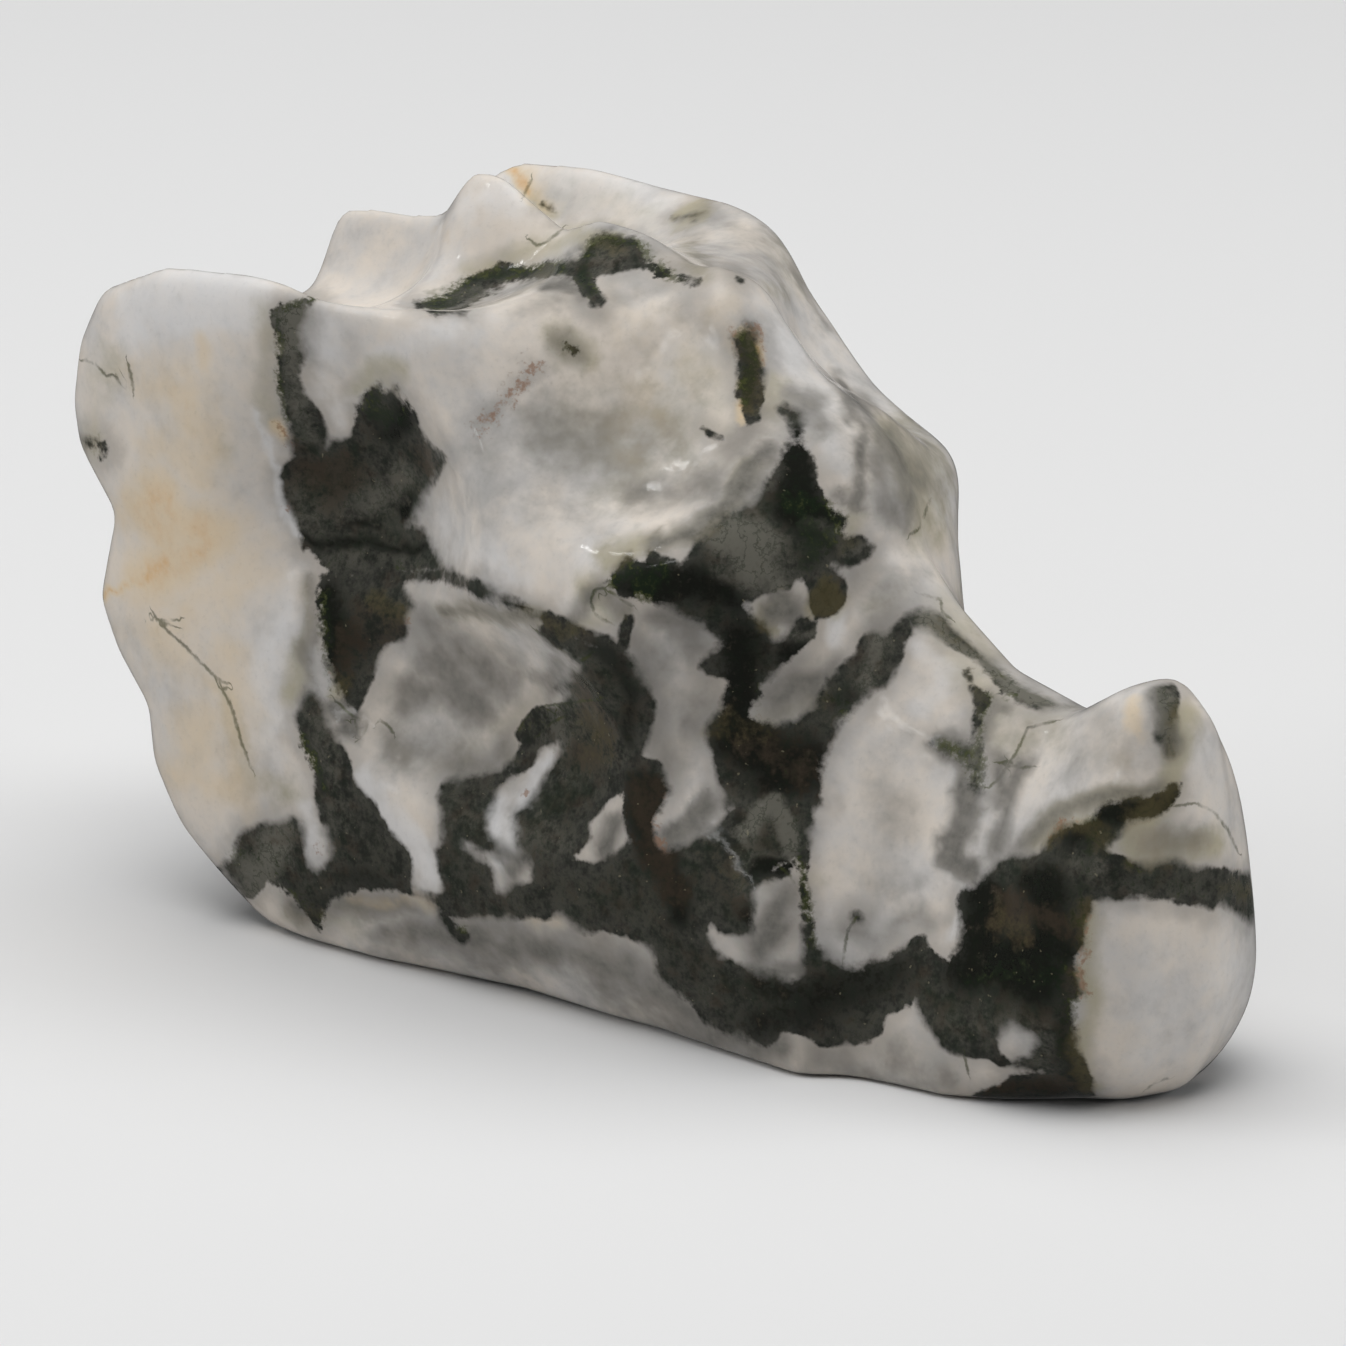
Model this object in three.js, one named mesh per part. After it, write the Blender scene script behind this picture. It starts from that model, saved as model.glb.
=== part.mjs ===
// A dragon's head carved from one piece of moss agate, which stands on its flat base.
// Millimetres: +X to the snout, +Y to the dragon's left, +Z up, origin under the middle of its box.
// The stone is described as a field that is below zero inside it, the way the carver worked: a block
// cut to outlines, then ground out with round wheels. The skin of that field is the mesh.
import * as THREE from 'three';

// The outlines' own x of the middle of the length.
const MIDDLE_X = -1.41;
// The block's half thickness, and how high the left side stands above the right per millimetre of y.
const HALF_THICKNESS = 15.2;
const LEFT_SIDE_RISE = 0.001;
// Distances from the middle plane are rounded off close to it, so that no crease runs down the middle.
const MIDDLE_ROUNDING = 0.5;
const MIDDLE_INSET = 0.4;
// The crease between two forms is filled or worn off over this much of the distance.
const FORM_ROUNDING = 3.0;
const EDGE_ROUNDING = 2.5;
// The edge length of the cubes that the skin is found in.
const CELL = 1.65;
const LOW_CORNER = [-42.0, -18.1, -1.5 * CELL];
const HIGH_CORNER = [42.0, 18.1, 46.0];
// A vertex is pulled onto the true surface in this many steps, none of them longer than LONGEST_PULL.
// Slopes are taken over SLOPE_STEP, and none is taken as flatter than LEAST_STEEPNESS.
const PULLS = 4;
const SLOPE_STEP = 0.02;
const LONGEST_PULL = 0.5 * CELL;
const LEAST_STEEPNESS = 0.1;
// How often each vertex is moved to the middle of its neighbours, which evens out the triangles.
const RELAXATIONS = 3;

// The middle line from the back of the crest over its peaks, the brow and the snout to the nose, as x, z.
const CREST_OUTLINE = [
  [-31.2, 10.0], [-31.2, 37.6], [-30.2, 38.8], [-28.2, 39.2], [-24.2, 39.5], [-21.8, 40.0], [-20.6, 41.6],
  [-19.5, 42.9], [-18.0, 42.9], [-13.0, 40.4], [-10.0, 41.6], [-7.0, 41.4], [-3.2, 39.9], [-1.0, 40.3],
  [0.8, 40.3], [2.2, 38.4], [4.6, 35.6], [7.7, 34.0], [10.0, 32.4], [11.5, 30.2], [12.4, 27.0], [15.4, 24.2],
  [19.8, 21.3], [26.0, 19.9], [30.0, 22.4], [32.0, 23.2], [33.8, 21.6], [36.0, 15.0], [36.9, 9.0],
  [36.6, 2.5], [33.0, -4.0], [-22.0, -4.0],
];
// The side of the block: the frill with its scalloped back edge, the cheek and the jaw, as x, z.
const SIDE_OUTLINE = [
  [-24.0, 40.2], [-31.4, 39.3], [-36.8, 36.4], [-39.0, 32.8], [-39.9, 29.0], [-39.2, 26.2], [-36.0, 22.8],
  [-37.5, 17.4], [-35.8, 14.3], [-33.2, 11.6], [-32.8, 8.4], [-30.4, 4.8], [-25.4, 0.4], [-22.0, -4.0],
  [19.5, -4.0], [17.0, 5.0], [11.5, 16.5], [9.0, 23.0], [7.6, 28.0], [-1.0, 30.0], [-1.0, 39.4],
  [-18.0, 39.8],
];
// One half of the plan, from the frill to the nose, as x, distance from the middle plane.
const PLAN_OUTLINE = [
  [-39.9, -6.0], [-39.9, 13.8], [-30.0, 15.2], [-20.0, 15.4], [-12.0, 14.6], [2.0, 13.8], [9.0, 12.8],
  [16.0, 11.6], [23.0, 9.4], [28.0, 9.2], [32.2, 7.6], [35.2, 4.6], [37.0, 0.0], [37.0, -6.0],
];

// How the top falls away from the middle line, by x: a slope that fades out over a reach, and a curve.
// The corners in these lists are eased by reading them at several places, shifted by these lengths.
const PROFILE_SHIFTS = [-1.8, -0.6, 0.6, 1.8];
const ROOF_SLOPE = [[-26, 2.2], [-19, 1.5], [-12, 1.1], [-8, 0.8], [-1, 0.95], [1, 0.8], [5, 0.15], [12, 0]];
const ROOF_REACH = [[-26, 3], [-19, 4], [-10, 6], [0, 20]];
const ROOF_CURVE = [
  [-1, 0], [5, 0.03], [8.5, 0.045], [11, 0.12], [13, 0.19], [18, 0.22], [26, 0.2], [33, 0.25],
];
// The drop steepens the field there, which this evens out.
const ROOF_EASING = 0.8;
const RIDGE_HALF_WIDTH = 10.5;
const CREST_HALF_WIDTH = 1.6;
const CREST_ROUNDING = 1.0;
const CREST_FILLET = 1.5;

// The valleys beside the crest: a round-bottomed slot whose axis rises toward the brow, by x.
const VALLEY_AXIS_HEIGHT = [[-40, 40.6], [-20, 42.0], [-15, 43.6], [-10, 45.6], [-5, 46.6]];
const VALLEY_RADIUS = 6.5;
const VALLEY_REACH = 6.6;
const VALLEY_ROUNDING = 2.0;

// The walls draw in toward the base over this height, by the depth listed by x.
const FOOT_HEIGHT = 7.5;
const FOOT_DEPTH = [
  [-25, 2.2], [-15, 1.8], [-5, 3.0], [5, 2.2], [16, -0.2], [24, 0.2], [30, 4.0], [34, 3.2],
];
const BASE_ROUNDING = 1.0;

// Planes that the stone is ground back to, each as its slopes in x, side and z and a point on it.
const CREST_BACK = { slopes: [-0.7, 0.7, 0], point: [-31.2, 0, 0], rounding: 1.5 };
// The left frill starts further forward than the right one, from this distance left of the middle.
const LEFT_FRILL_BACK = { slopes: [-0.7, 0, 0.7], point: [-29.4, 0, 39.9], rounding: 1.0 };
const LEFT_FRILL_BACK_START = 5.0;
// The temples slope down from the crest, in front of the ends of the frills.
const TEMPLE_FACE = { slopes: [0, 0.766, 0.643], point: [0, 6.6, 34.6] };
const LEFT_FACE_INSET = 0.77;
const RIGHT_FRILL_END = { slopes: [0.62, 0.65, 0.43], point: [-5.5, 9.5, 34.0], rounding: 5.0 };
const LEFT_FRILL_END = { slopes: [0.62, 0.55, 0.52], point: [-6.2, 13.6, 36.4], rounding: 9.0 };
const FRILL_END_MIX_WIDTH = 12.0;

// Round hollows. The second coordinate is the distance from the middle plane on the hollow's own side.
const BACK_HOLLOW = { centre: [-45.0, 0.0, 40.0], radii: [14.5, 12.4, 32.0], rounding: 2.0 };
const RIGHT_TEMPLE_BOWL = { centre: [1.5, 16.0, 42.0], radii: [12.5, 12.0, 14.0], rounding: 3.0 };
const LEFT_TEMPLE_BOWL = { centre: [4.3, 16.0, 42.0], radii: [10.0, 11.0, 13.0], rounding: 4.0 };
const RIGHT_FRILL_HOLLOW = { centre: [-15.0, 22.4, 30.4], radii: [10.2, 10.4, 11.6], rounding: 4.0 };
const SIDE_HOLLOWS = [
  { centre: [-16.2, 18.6, 26.2], radii: [8.6, 7.8, 6.8], rounding: 5.0 },
  { centre: [-6.2, 21.5, 17.2], radii: [19.6, 10.7, 9.4], pitch: 9, rounding: 0.8 },
  { centre: [12.8, 15.8, 21.0], radii: [7.6, 7.4, 9.8], rounding: 4.5 },
  { centre: [21.5, 13.5, 20.0], radii: [6.6, 7.5, 7.0], rounding: 3.0 },
];
// Soft grooves that run in from the frill's two notches.
const FRILL_GROOVES = [
  { from: [-38.0, 17.6, 22.8], to: [-25.0, 19.0, 20.5], radii: [3.4, 3.4], rounding: 1.5 },
  { from: [-36.0, 17.6, 11.2], to: [-27.0, 19.0, 12.5], radii: [3.2, 3.2], rounding: 1.5 },
];
const CHEEKBONE = { from: [-2.0, 9.6, 25.0], to: [5.7, 8.7, 25.4], radii: [2.4, 2.8], rounding: 3.0 };
// The left temple is ground less deep, so that its edge runs down from the frill to the cheekbone.
const LEFT_TEMPLE_EDGE = {
  from: [-5.0, 10.6, 31.2], to: [4.2, 10.4, 26.2], radii: [2.8, 2.8], rounding: 3.0,
};

const { clamp, degToRad } = THREE.MathUtils;

// The smaller of two distances, with the crease between them rounded.
function join(a, b, rounding) {
  const overlap = Math.max(rounding - Math.abs(a - b), 0) / rounding;
  return Math.min(a, b) - (overlap * overlap * rounding) / 4;
}

function overlapOf(a, b, rounding) {
  return -join(-a, -b, rounding);
}

function cut(solid, tool, rounding) {
  return overlapOf(solid, -tool, rounding);
}

// A value read from a list of [x, value] pairs, straight between them.
function readAlong(x, pairs) {
  if (x <= pairs[0][0]) {
    return pairs[0][1];
  }
  for (let i = 1; i < pairs.length; i += 1) {
    const [startX, start] = pairs[i - 1];
    const [endX, end] = pairs[i];
    if (x <= endX) {
      return start + ((end - start) * (x - startX)) / (endX - startX);
    }
  }
  return pairs[pairs.length - 1][1];
}

function readEased(x, pairs) {
  const sum = PROFILE_SHIFTS.reduce((total, shift) => total + readAlong(x + shift, pairs), 0);
  return sum / PROFILE_SHIFTS.length;
}

// The distance to a closed outline, below zero inside it.
function outlineDistance(u, v, outline) {
  let nearest = Infinity;
  let inside = false;
  for (let i = 0; i < outline.length; i += 1) {
    const [startU, startV] = outline[i];
    const [endU, endV] = outline[(i + 1) % outline.length];
    const edgeU = endU - startU;
    const edgeV = endV - startV;
    const toU = u - startU;
    const toV = v - startV;
    const along = clamp((toU * edgeU + toV * edgeV) / (edgeU * edgeU + edgeV * edgeV), 0, 1);
    nearest = Math.min(nearest, Math.hypot(toU - along * edgeU, toV - along * edgeV));
    if (endV > v !== startV > v && toU < (edgeU * toV) / edgeV) {
      inside = !inside;
    }
  }
  return inside ? -nearest : nearest;
}

function ellipsoidDistance(x, side, z, { centre, radii, pitch = 0, roll = 0 }) {
  let [u, v, w] = [x - centre[0], side - centre[1], z - centre[2]];
  const [pitchCos, pitchSin] = [Math.cos(degToRad(pitch)), Math.sin(degToRad(pitch))];
  const [rollCos, rollSin] = [Math.cos(degToRad(roll)), Math.sin(degToRad(roll))];
  [u, w] = [pitchCos * u - pitchSin * w, pitchSin * u + pitchCos * w];
  [v, w] = [rollCos * v + rollSin * w, -rollSin * v + rollCos * w];
  const size = Math.hypot(u / radii[0], v / radii[1], w / radii[2]) + 1e-6;
  const slope = Math.hypot(u / radii[0] ** 2, v / radii[1] ** 2, w / radii[2] ** 2) + 1e-9;
  return (size * (size - 1)) / slope;
}

// A round bar between two points, whose radius changes evenly from one to the other.
function barDistance(x, side, z, { from, to, radii }) {
  const [runX, runSide, runZ] = [to[0] - from[0], to[1] - from[1], to[2] - from[2]];
  const [toX, toSide, toZ] = [x - from[0], side - from[1], z - from[2]];
  const reach = runX * runX + runSide * runSide + runZ * runZ;
  const along = clamp((toX * runX + toSide * runSide + toZ * runZ) / reach, 0, 1);
  const gap = Math.hypot(toX - along * runX, toSide - along * runSide, toZ - along * runZ);
  return gap - (radii[0] + (radii[1] - radii[0]) * along);
}

function planeHeight(x, side, z, { slopes, point }) {
  return slopes[0] * (x - point[0]) + slopes[1] * (side - point[1]) + slopes[2] * (z - point[2]);
}

function cutHollow(solid, x, side, z, hollow) {
  return cut(solid, ellipsoidDistance(x, side, z, hollow), hollow.rounding);
}

function roofDrop(x, side) {
  const reach = readEased(x, ROOF_REACH);
  const slope = readEased(x, ROOF_SLOPE) * reach * Math.tanh(side / reach);
  return slope + readEased(x, ROOF_CURVE) * side * side;
}

// The block cut to its side outline, with the valleys and the hollow back ground into it.
function blockDistance(x, y, side, z) {
  let block = overlapOf(outlineDistance(x, z, SIDE_OUTLINE), side - HALF_THICKNESS, FORM_ROUNDING);
  const valleyHeight = z - readAlong(x, VALLEY_AXIS_HEIGHT);
  const valley = Math.hypot(Math.max(side - VALLEY_REACH, 0), valleyHeight) - VALLEY_RADIUS;
  block = cut(block, valley, VALLEY_ROUNDING);
  block = cutHollow(block, x, y, z, BACK_HOLLOW);
  const leftBack = planeHeight(x, side, z, LEFT_FRILL_BACK) - Math.max(LEFT_FRILL_BACK_START - y, 0);
  return overlapOf(block, leftBack, LEFT_FRILL_BACK.rounding);
}

// The temples' sloping faces, each ground into a bowl.
function cutTemples(solid, x, y, side, z) {
  const leftShare = clamp(0.5 + y / FRILL_END_MIX_WIDTH, 0, 1);
  const mix = (right, left) => right + (left - right) * leftShare;
  const face = planeHeight(x, side, z, TEMPLE_FACE) + LEFT_FACE_INSET * leftShare;
  const end = mix(planeHeight(x, side, z, RIGHT_FRILL_END), planeHeight(x, side, z, LEFT_FRILL_END));
  const rounding = mix(RIGHT_FRILL_END.rounding, LEFT_FRILL_END.rounding);
  let stone = cut(solid, overlapOf(-face, -end, rounding), FORM_ROUNDING);
  stone = cutHollow(stone, x, -y, z, RIGHT_TEMPLE_BOWL);
  return cutHollow(stone, x, y, z, LEFT_TEMPLE_BOWL);
}

function stoneDistance(stoneX, y, stoneZ) {
  const x = stoneX + MIDDLE_X;
  const z = stoneZ / (1 + LEFT_SIDE_RISE * y);
  const side = Math.hypot(y, MIDDLE_ROUNDING) - MIDDLE_INSET;
  let crest = outlineDistance(x, z + roofDrop(x, side), CREST_OUTLINE) * ROOF_EASING;
  crest = overlapOf(crest, planeHeight(x, side, z, CREST_BACK), CREST_BACK.rounding);
  const ridge = overlapOf(crest, side - RIDGE_HALF_WIDTH, FORM_ROUNDING);
  let stone = join(ridge, blockDistance(x, y, side, z), FORM_ROUNDING);
  stone = cutTemples(stone, x, y, side, z);
  stone = join(stone, overlapOf(crest, side - CREST_HALF_WIDTH, CREST_ROUNDING), CREST_FILLET);
  stone = join(stone, barDistance(x, side, z, CHEEKBONE), CHEEKBONE.rounding);
  stone = join(stone, barDistance(x, y, z, LEFT_TEMPLE_EDGE), LEFT_TEMPLE_EDGE.rounding);
  const foot = readAlong(x, FOOT_DEPTH) * Math.max(0, 1 - z / FOOT_HEIGHT) ** 2;
  stone = overlapOf(stone, outlineDistance(x, side, PLAN_OUTLINE) + foot, EDGE_ROUNDING);
  for (const groove of FRILL_GROOVES) {
    stone = cut(stone, barDistance(x, side, z, groove), groove.rounding);
  }
  stone = cutHollow(stone, x, -y, z, RIGHT_FRILL_HOLLOW);
  for (const hollow of SIDE_HOLLOWS) {
    stone = cutHollow(stone, x, side, z, hollow);
  }
  return overlapOf(stone, -z, BASE_ROUNDING);
}

function slopeAt([x, y, z]) {
  const d = SLOPE_STEP;
  return [
    (stoneDistance(x + d, y, z) - stoneDistance(x - d, y, z)) / (2 * d),
    (stoneDistance(x, y + d, z) - stoneDistance(x, y - d, z)) / (2 * d),
    (stoneDistance(x, y, z + d) - stoneDistance(x, y, z - d)) / (2 * d),
  ];
}

// Moves a point along the field's slope until it lies on the stone's surface.
function pullToSurface(point) {
  let pulled = point;
  for (let pull = 0; pull < PULLS; pull += 1) {
    const slope = slopeAt(pulled);
    const steepness = slope[0] ** 2 + slope[1] ** 2 + slope[2] ** 2;
    const move = stoneDistance(...pulled) / Math.max(steepness, LEAST_STEEPNESS);
    const step = clamp(move, -LONGEST_PULL, LONGEST_PULL);
    pulled = pulled.map((value, axis) => value - step * slope[axis]);
  }
  return pulled;
}

// The field at every corner of a lattice of cubes.
function sampleLattice() {
  const counts = HIGH_CORNER.map((high, axis) => Math.ceil((high - LOW_CORNER[axis]) / CELL) + 1);
  const place = (i, j, k) => [i, j, k].map((step, axis) => LOW_CORNER[axis] + step * CELL);
  const index = (i, j, k) => (i * counts[1] + j) * counts[2] + k;
  const values = new Float64Array(counts[0] * counts[1] * counts[2]);
  for (let i = 0; i < counts[0]; i += 1) {
    for (let j = 0; j < counts[1]; j += 1) {
      for (let k = 0; k < counts[2]; k += 1) {
        values[index(i, j, k)] = stoneDistance(...place(i, j, k));
      }
    }
  }
  return { counts, place, index, values };
}

const CUBE_CORNERS = [
  [0, 0, 0], [1, 0, 0], [0, 1, 0], [1, 1, 0], [0, 0, 1], [1, 0, 1], [0, 1, 1], [1, 1, 1],
];
const CUBE_EDGES = [
  [0, 1], [2, 3], [4, 5], [6, 7], [0, 2], [1, 3], [4, 6], [5, 7], [0, 4], [1, 5], [2, 6], [3, 7],
];

// The middle of the places where the surface crosses a cube's edges, or nothing where it crosses none.
function crossingMiddle(lattice, i, j, k) {
  const values = CUBE_CORNERS.map(([a, b, c]) => lattice.values[lattice.index(i + a, j + b, k + c)]);
  const sum = [0, 0, 0];
  let crossings = 0;
  for (const [start, end] of CUBE_EDGES) {
    if (values[start] < 0 !== values[end] < 0) {
      const along = values[start] / (values[start] - values[end]);
      for (let axis = 0; axis < 3; axis += 1) {
        const from = CUBE_CORNERS[start][axis];
        sum[axis] += from + (CUBE_CORNERS[end][axis] - from) * along;
      }
      crossings += 1;
    }
  }
  if (crossings === 0) {
    return null;
  }
  return lattice.place(i + sum[0] / crossings, j + sum[1] / crossings, k + sum[2] / crossings);
}

// One vertex for each cube that the surface passes through.
function findVertices(lattice) {
  const [countX, countY, countZ] = lattice.counts;
  const positions = [];
  const vertexOf = new Int32Array(lattice.values.length).fill(-1);
  for (let i = 0; i < countX - 1; i += 1) {
    for (let j = 0; j < countY - 1; j += 1) {
      for (let k = 0; k < countZ - 1; k += 1) {
        const middle = crossingMiddle(lattice, i, j, k);
        if (middle) {
          vertexOf[lattice.index(i, j, k)] = positions.length;
          positions.push(pullToSurface(middle));
        }
      }
    }
  }
  return { positions, vertexOf };
}

// Two triangles over four corners, parted along the shorter diagonal, turned over where asked.
function addQuad(triangles, positions, corners, turned) {
  const [a, b, c, d] = turned ? [...corners].reverse() : corners;
  const gap = (p, q) => new THREE.Vector3(...positions[p]).distanceTo(new THREE.Vector3(...positions[q]));
  if (gap(a, c) < gap(b, d)) {
    triangles.push(a, b, c, a, c, d);
  } else {
    triangles.push(b, c, d, b, d, a);
  }
}

// One quad for each lattice edge that the surface crosses, between the four cubes around that edge.
function findTriangles(lattice, positions, vertexOf) {
  const triangles = [];
  const sides = [[[0, 1, 0], [0, 0, 1]], [[0, 0, 1], [1, 0, 0]], [[1, 0, 0], [0, 1, 0]]];
  const back = (place, step) => place.map((value, axis) => value - step[axis]);
  const [countX, countY, countZ] = lattice.counts;
  for (let i = 1; i < countX - 1; i += 1) {
    for (let j = 1; j < countY - 1; j += 1) {
      for (let k = 1; k < countZ - 1; k += 1) {
        const here = [i, j, k];
        const inside = lattice.values[lattice.index(i, j, k)] < 0;
        for (let axis = 0; axis < 3; axis += 1) {
          const next = here.map((value, other) => value + (other === axis ? 1 : 0));
          if (inside !== lattice.values[lattice.index(...next)] < 0) {
            const [first, second] = sides[axis];
            const cubes = [here, back(here, first), back(back(here, first), second), back(here, second)];
            addQuad(triangles, positions, cubes.map((cube) => vertexOf[lattice.index(...cube)]), !inside);
          }
        }
      }
    }
  }
  return triangles;
}

// Each vertex goes to the middle of its neighbours and from there back onto the surface.
function relax(positions, triangles) {
  const neighbours = positions.map(() => new Set());
  for (let i = 0; i < triangles.length; i += 3) {
    const corners = triangles.slice(i, i + 3);
    corners.forEach((corner) => corners.forEach((other) => neighbours[corner].add(other)));
  }
  return positions.map((own, vertex) => {
    const middle = new THREE.Vector3();
    neighbours[vertex].forEach((other) => middle.add(new THREE.Vector3(...positions[other])));
    return pullToSurface(middle.divideScalar(neighbours[vertex].size).toArray());
  });
}

function makeStoneGeometry() {
  const lattice = sampleLattice();
  const found = findVertices(lattice);
  const triangles = findTriangles(lattice, found.positions, found.vertexOf);
  let { positions } = found;
  for (let round = 0; round < RELAXATIONS; round += 1) {
    positions = relax(positions, triangles);
  }
  const geometry = new THREE.BufferGeometry();
  geometry.setAttribute('position', new THREE.Float32BufferAttribute(positions.flat(), 3));
  geometry.setIndex(triangles);
  geometry.computeVertexNormals();
  return geometry;
}

const mossAgate = new THREE.MeshStandardMaterial({ color: 0xa9a49b, roughness: 0.2, metalness: 0 });

const head = new THREE.Mesh(makeStoneGeometry(), mossAgate);
head.name = 'dragon_head';

const carving = new THREE.Group();
carving.add(head);

export default carving;
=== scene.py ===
import math

import bpy
import numpy as np
from mathutils import Matrix, Vector
from mathutils.bvhtree import BVHTree


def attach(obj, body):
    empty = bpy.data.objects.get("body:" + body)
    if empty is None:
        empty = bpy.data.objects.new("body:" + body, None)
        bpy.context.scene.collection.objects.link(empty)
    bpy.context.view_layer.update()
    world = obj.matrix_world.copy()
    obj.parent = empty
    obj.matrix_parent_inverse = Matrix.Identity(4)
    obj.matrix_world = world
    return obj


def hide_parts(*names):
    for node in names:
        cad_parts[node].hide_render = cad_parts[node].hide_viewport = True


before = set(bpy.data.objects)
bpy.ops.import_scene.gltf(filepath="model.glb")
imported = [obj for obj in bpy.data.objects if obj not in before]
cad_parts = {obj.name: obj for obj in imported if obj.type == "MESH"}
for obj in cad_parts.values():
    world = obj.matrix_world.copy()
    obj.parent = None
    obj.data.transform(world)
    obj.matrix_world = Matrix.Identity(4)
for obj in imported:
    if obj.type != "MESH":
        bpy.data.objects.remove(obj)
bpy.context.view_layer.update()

# The photograph's frame, and the camera that it was taken with: where it stands round the stone, how
# far away, and how wide the view is at the point that it looks at. Millimetres and degrees.
PHOTO_SIZE = 1346
CAMERA_AZIMUTH = 43.0
CAMERA_ELEVATION = 17.0
CAMERA_DISTANCE = 600.0
CAMERA_TARGET = (-0.9, -2.16, 17.33)
VIEW_WIDTH = 76.05
SENSOR_WIDTH = 36.0
MILLIMETRE = 0.001

# The stone's form, as in the solid: outlines in millimetres, whose own x of the middle is MIDDLE_X.
MIDDLE_X = -1.41
HALF_THICKNESS = 15.2
LEFT_SIDE_RISE = 0.001
MIDDLE_ROUNDING = 0.5
MIDDLE_INSET = 0.4
FORM_ROUNDING = 3.0
EDGE_ROUNDING = 2.5
CREST_OUTLINE = [
    (-31.2, 10.0), (-31.2, 37.6), (-30.2, 38.8), (-28.2, 39.2), (-24.2, 39.5), (-21.8, 40.0),
    (-20.6, 41.6), (-19.5, 42.9), (-18.0, 42.9), (-13.0, 40.4), (-10.0, 41.6), (-7.0, 41.4), (-3.2, 39.9),
    (-1.0, 40.3), (0.8, 40.3), (2.2, 38.4), (4.6, 35.6), (7.7, 34.0), (10.0, 32.4), (11.5, 30.2),
    (12.4, 27.0), (15.4, 24.2), (19.8, 21.3), (26.0, 19.9), (30.0, 22.4), (32.0, 23.2), (33.8, 21.6),
    (36.0, 15.0), (36.9, 9.0), (36.6, 2.5), (33.0, -4.0), (-22.0, -4.0),
]
SIDE_OUTLINE = [
    (-24.0, 40.2), (-31.4, 39.3), (-36.8, 36.4), (-39.0, 32.8), (-39.9, 29.0), (-39.2, 26.2), (-36.0, 22.8),
    (-37.5, 17.4), (-35.8, 14.3), (-33.2, 11.6), (-32.8, 8.4), (-30.4, 4.8), (-25.4, 0.4), (-22.0, -4.0),
    (19.5, -4.0), (17.0, 5.0), (11.5, 16.5), (9.0, 23.0), (7.6, 28.0), (-1.0, 30.0), (-1.0, 39.4),
    (-18.0, 39.8),
]
PLAN_OUTLINE = [
    (-39.9, -6.0), (-39.9, 13.8), (-30.0, 15.2), (-20.0, 15.4), (-12.0, 14.6), (2.0, 13.8), (9.0, 12.8),
    (16.0, 11.6), (23.0, 9.4), (28.0, 9.2), (32.2, 7.6), (35.2, 4.6), (37.0, 0.0), (37.0, -6.0),
]
# Outlines are read off fine sheets, with their corners eased over a few times CORNER_EASING.
# Profiles along x are eased by these shifts.
SHEET_CELL = 0.15
SHEET_MARGIN = 4.0
SHEET_END = 1.001
CORNER_EASING = 0.4
EASING_REACH = 3.0
PROFILE_SHIFTS = (-1.8, -0.6, 0.6, 1.8)
ROOF_SLOPE = ((-26, -19, -12, -8, -1, 1, 5, 12), (2.2, 1.5, 1.1, 0.8, 0.95, 0.8, 0.15, 0.0))
ROOF_REACH = ((-26, -19, -10, 0), (3.0, 4.0, 6.0, 20.0))
ROOF_CURVE = ((-1, 5, 8.5, 11, 13, 18, 26, 33), (0.0, 0.03, 0.045, 0.12, 0.19, 0.22, 0.20, 0.25))
ROOF_EASING = 0.8
RIDGE_HALF_WIDTH = 10.5
CREST_HALF_WIDTH = 1.6
CREST_ROUNDING = 1.0
CREST_FILLET = 1.5
VALLEY_AXIS_HEIGHT = ((-40, -20, -15, -10, -5), (40.6, 42.0, 43.6, 45.6, 46.6))
VALLEY_RADIUS = 6.5
VALLEY_REACH = 6.6
VALLEY_ROUNDING = 2.0
FOOT_HEIGHT = 7.5
FOOT_DEPTH = ((-25, -15, -5, 5, 16, 24, 30, 34), (2.2, 1.8, 3.0, 2.2, -0.2, 0.2, 4.0, 3.2))
BASE_ROUNDING = 1.0
# Planes: how fast each rises along x, y and z, and a point on it.
CREST_BACK = ((-0.7, 0.7, 0.0), (-31.2, 0.0, 0.0))
CREST_BACK_ROUNDING = 1.5
LEFT_FRILL_BACK = ((-0.7, 0.0, 0.7), (-29.4, 0.0, 39.9))
LEFT_FRILL_BACK_START = 5.0
LEFT_FRILL_BACK_ROUNDING = 1.0
TEMPLE_FACE = ((0.0, 0.766, 0.643), (0.0, 6.6, 34.6))
LEFT_FACE_INSET = 0.77
RIGHT_FRILL_END = ((0.62, 0.65, 0.43), (-5.5, 9.5, 34.0))
LEFT_FRILL_END = ((0.62, 0.55, 0.52), (-6.2, 13.6, 36.4))
FRILL_END_MIX_WIDTH = 12.0
RIGHT_TEMPLE_ROUNDING = 5.0
LEFT_TEMPLE_ROUNDING = 9.0
# Hollows: centre, radii, pitch, roll and the rounding of their rim.
BACK_HOLLOW = ((-45.0, 0.0, 40.0), (14.5, 12.4, 32.0), 0, 0, 2.0)
RIGHT_TEMPLE_BOWL = ((1.5, 16.0, 42.0), (12.5, 12.0, 14.0), 0, 0, 3.0)
LEFT_TEMPLE_BOWL = ((4.3, 16.0, 42.0), (10.0, 11.0, 13.0), 0, 0, 4.0)
RIGHT_FRILL_HOLLOW = ((-15.0, 22.4, 30.4), (10.2, 10.4, 11.6), 0, 0, 4.0)
SIDE_HOLLOWS = [
    ((-16.2, 18.6, 26.2), (8.6, 7.8, 6.8), 0, 0, 5.0),
    ((-6.2, 21.5, 17.2), (19.6, 10.7, 9.4), 9, 0, 0.8),
    ((12.8, 15.8, 21.0), (7.6, 7.4, 9.8), 0, 0, 4.5),
    ((21.5, 13.5, 20.0), (6.6, 7.5, 7.0), 0, 0, 3.0),
]
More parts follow.
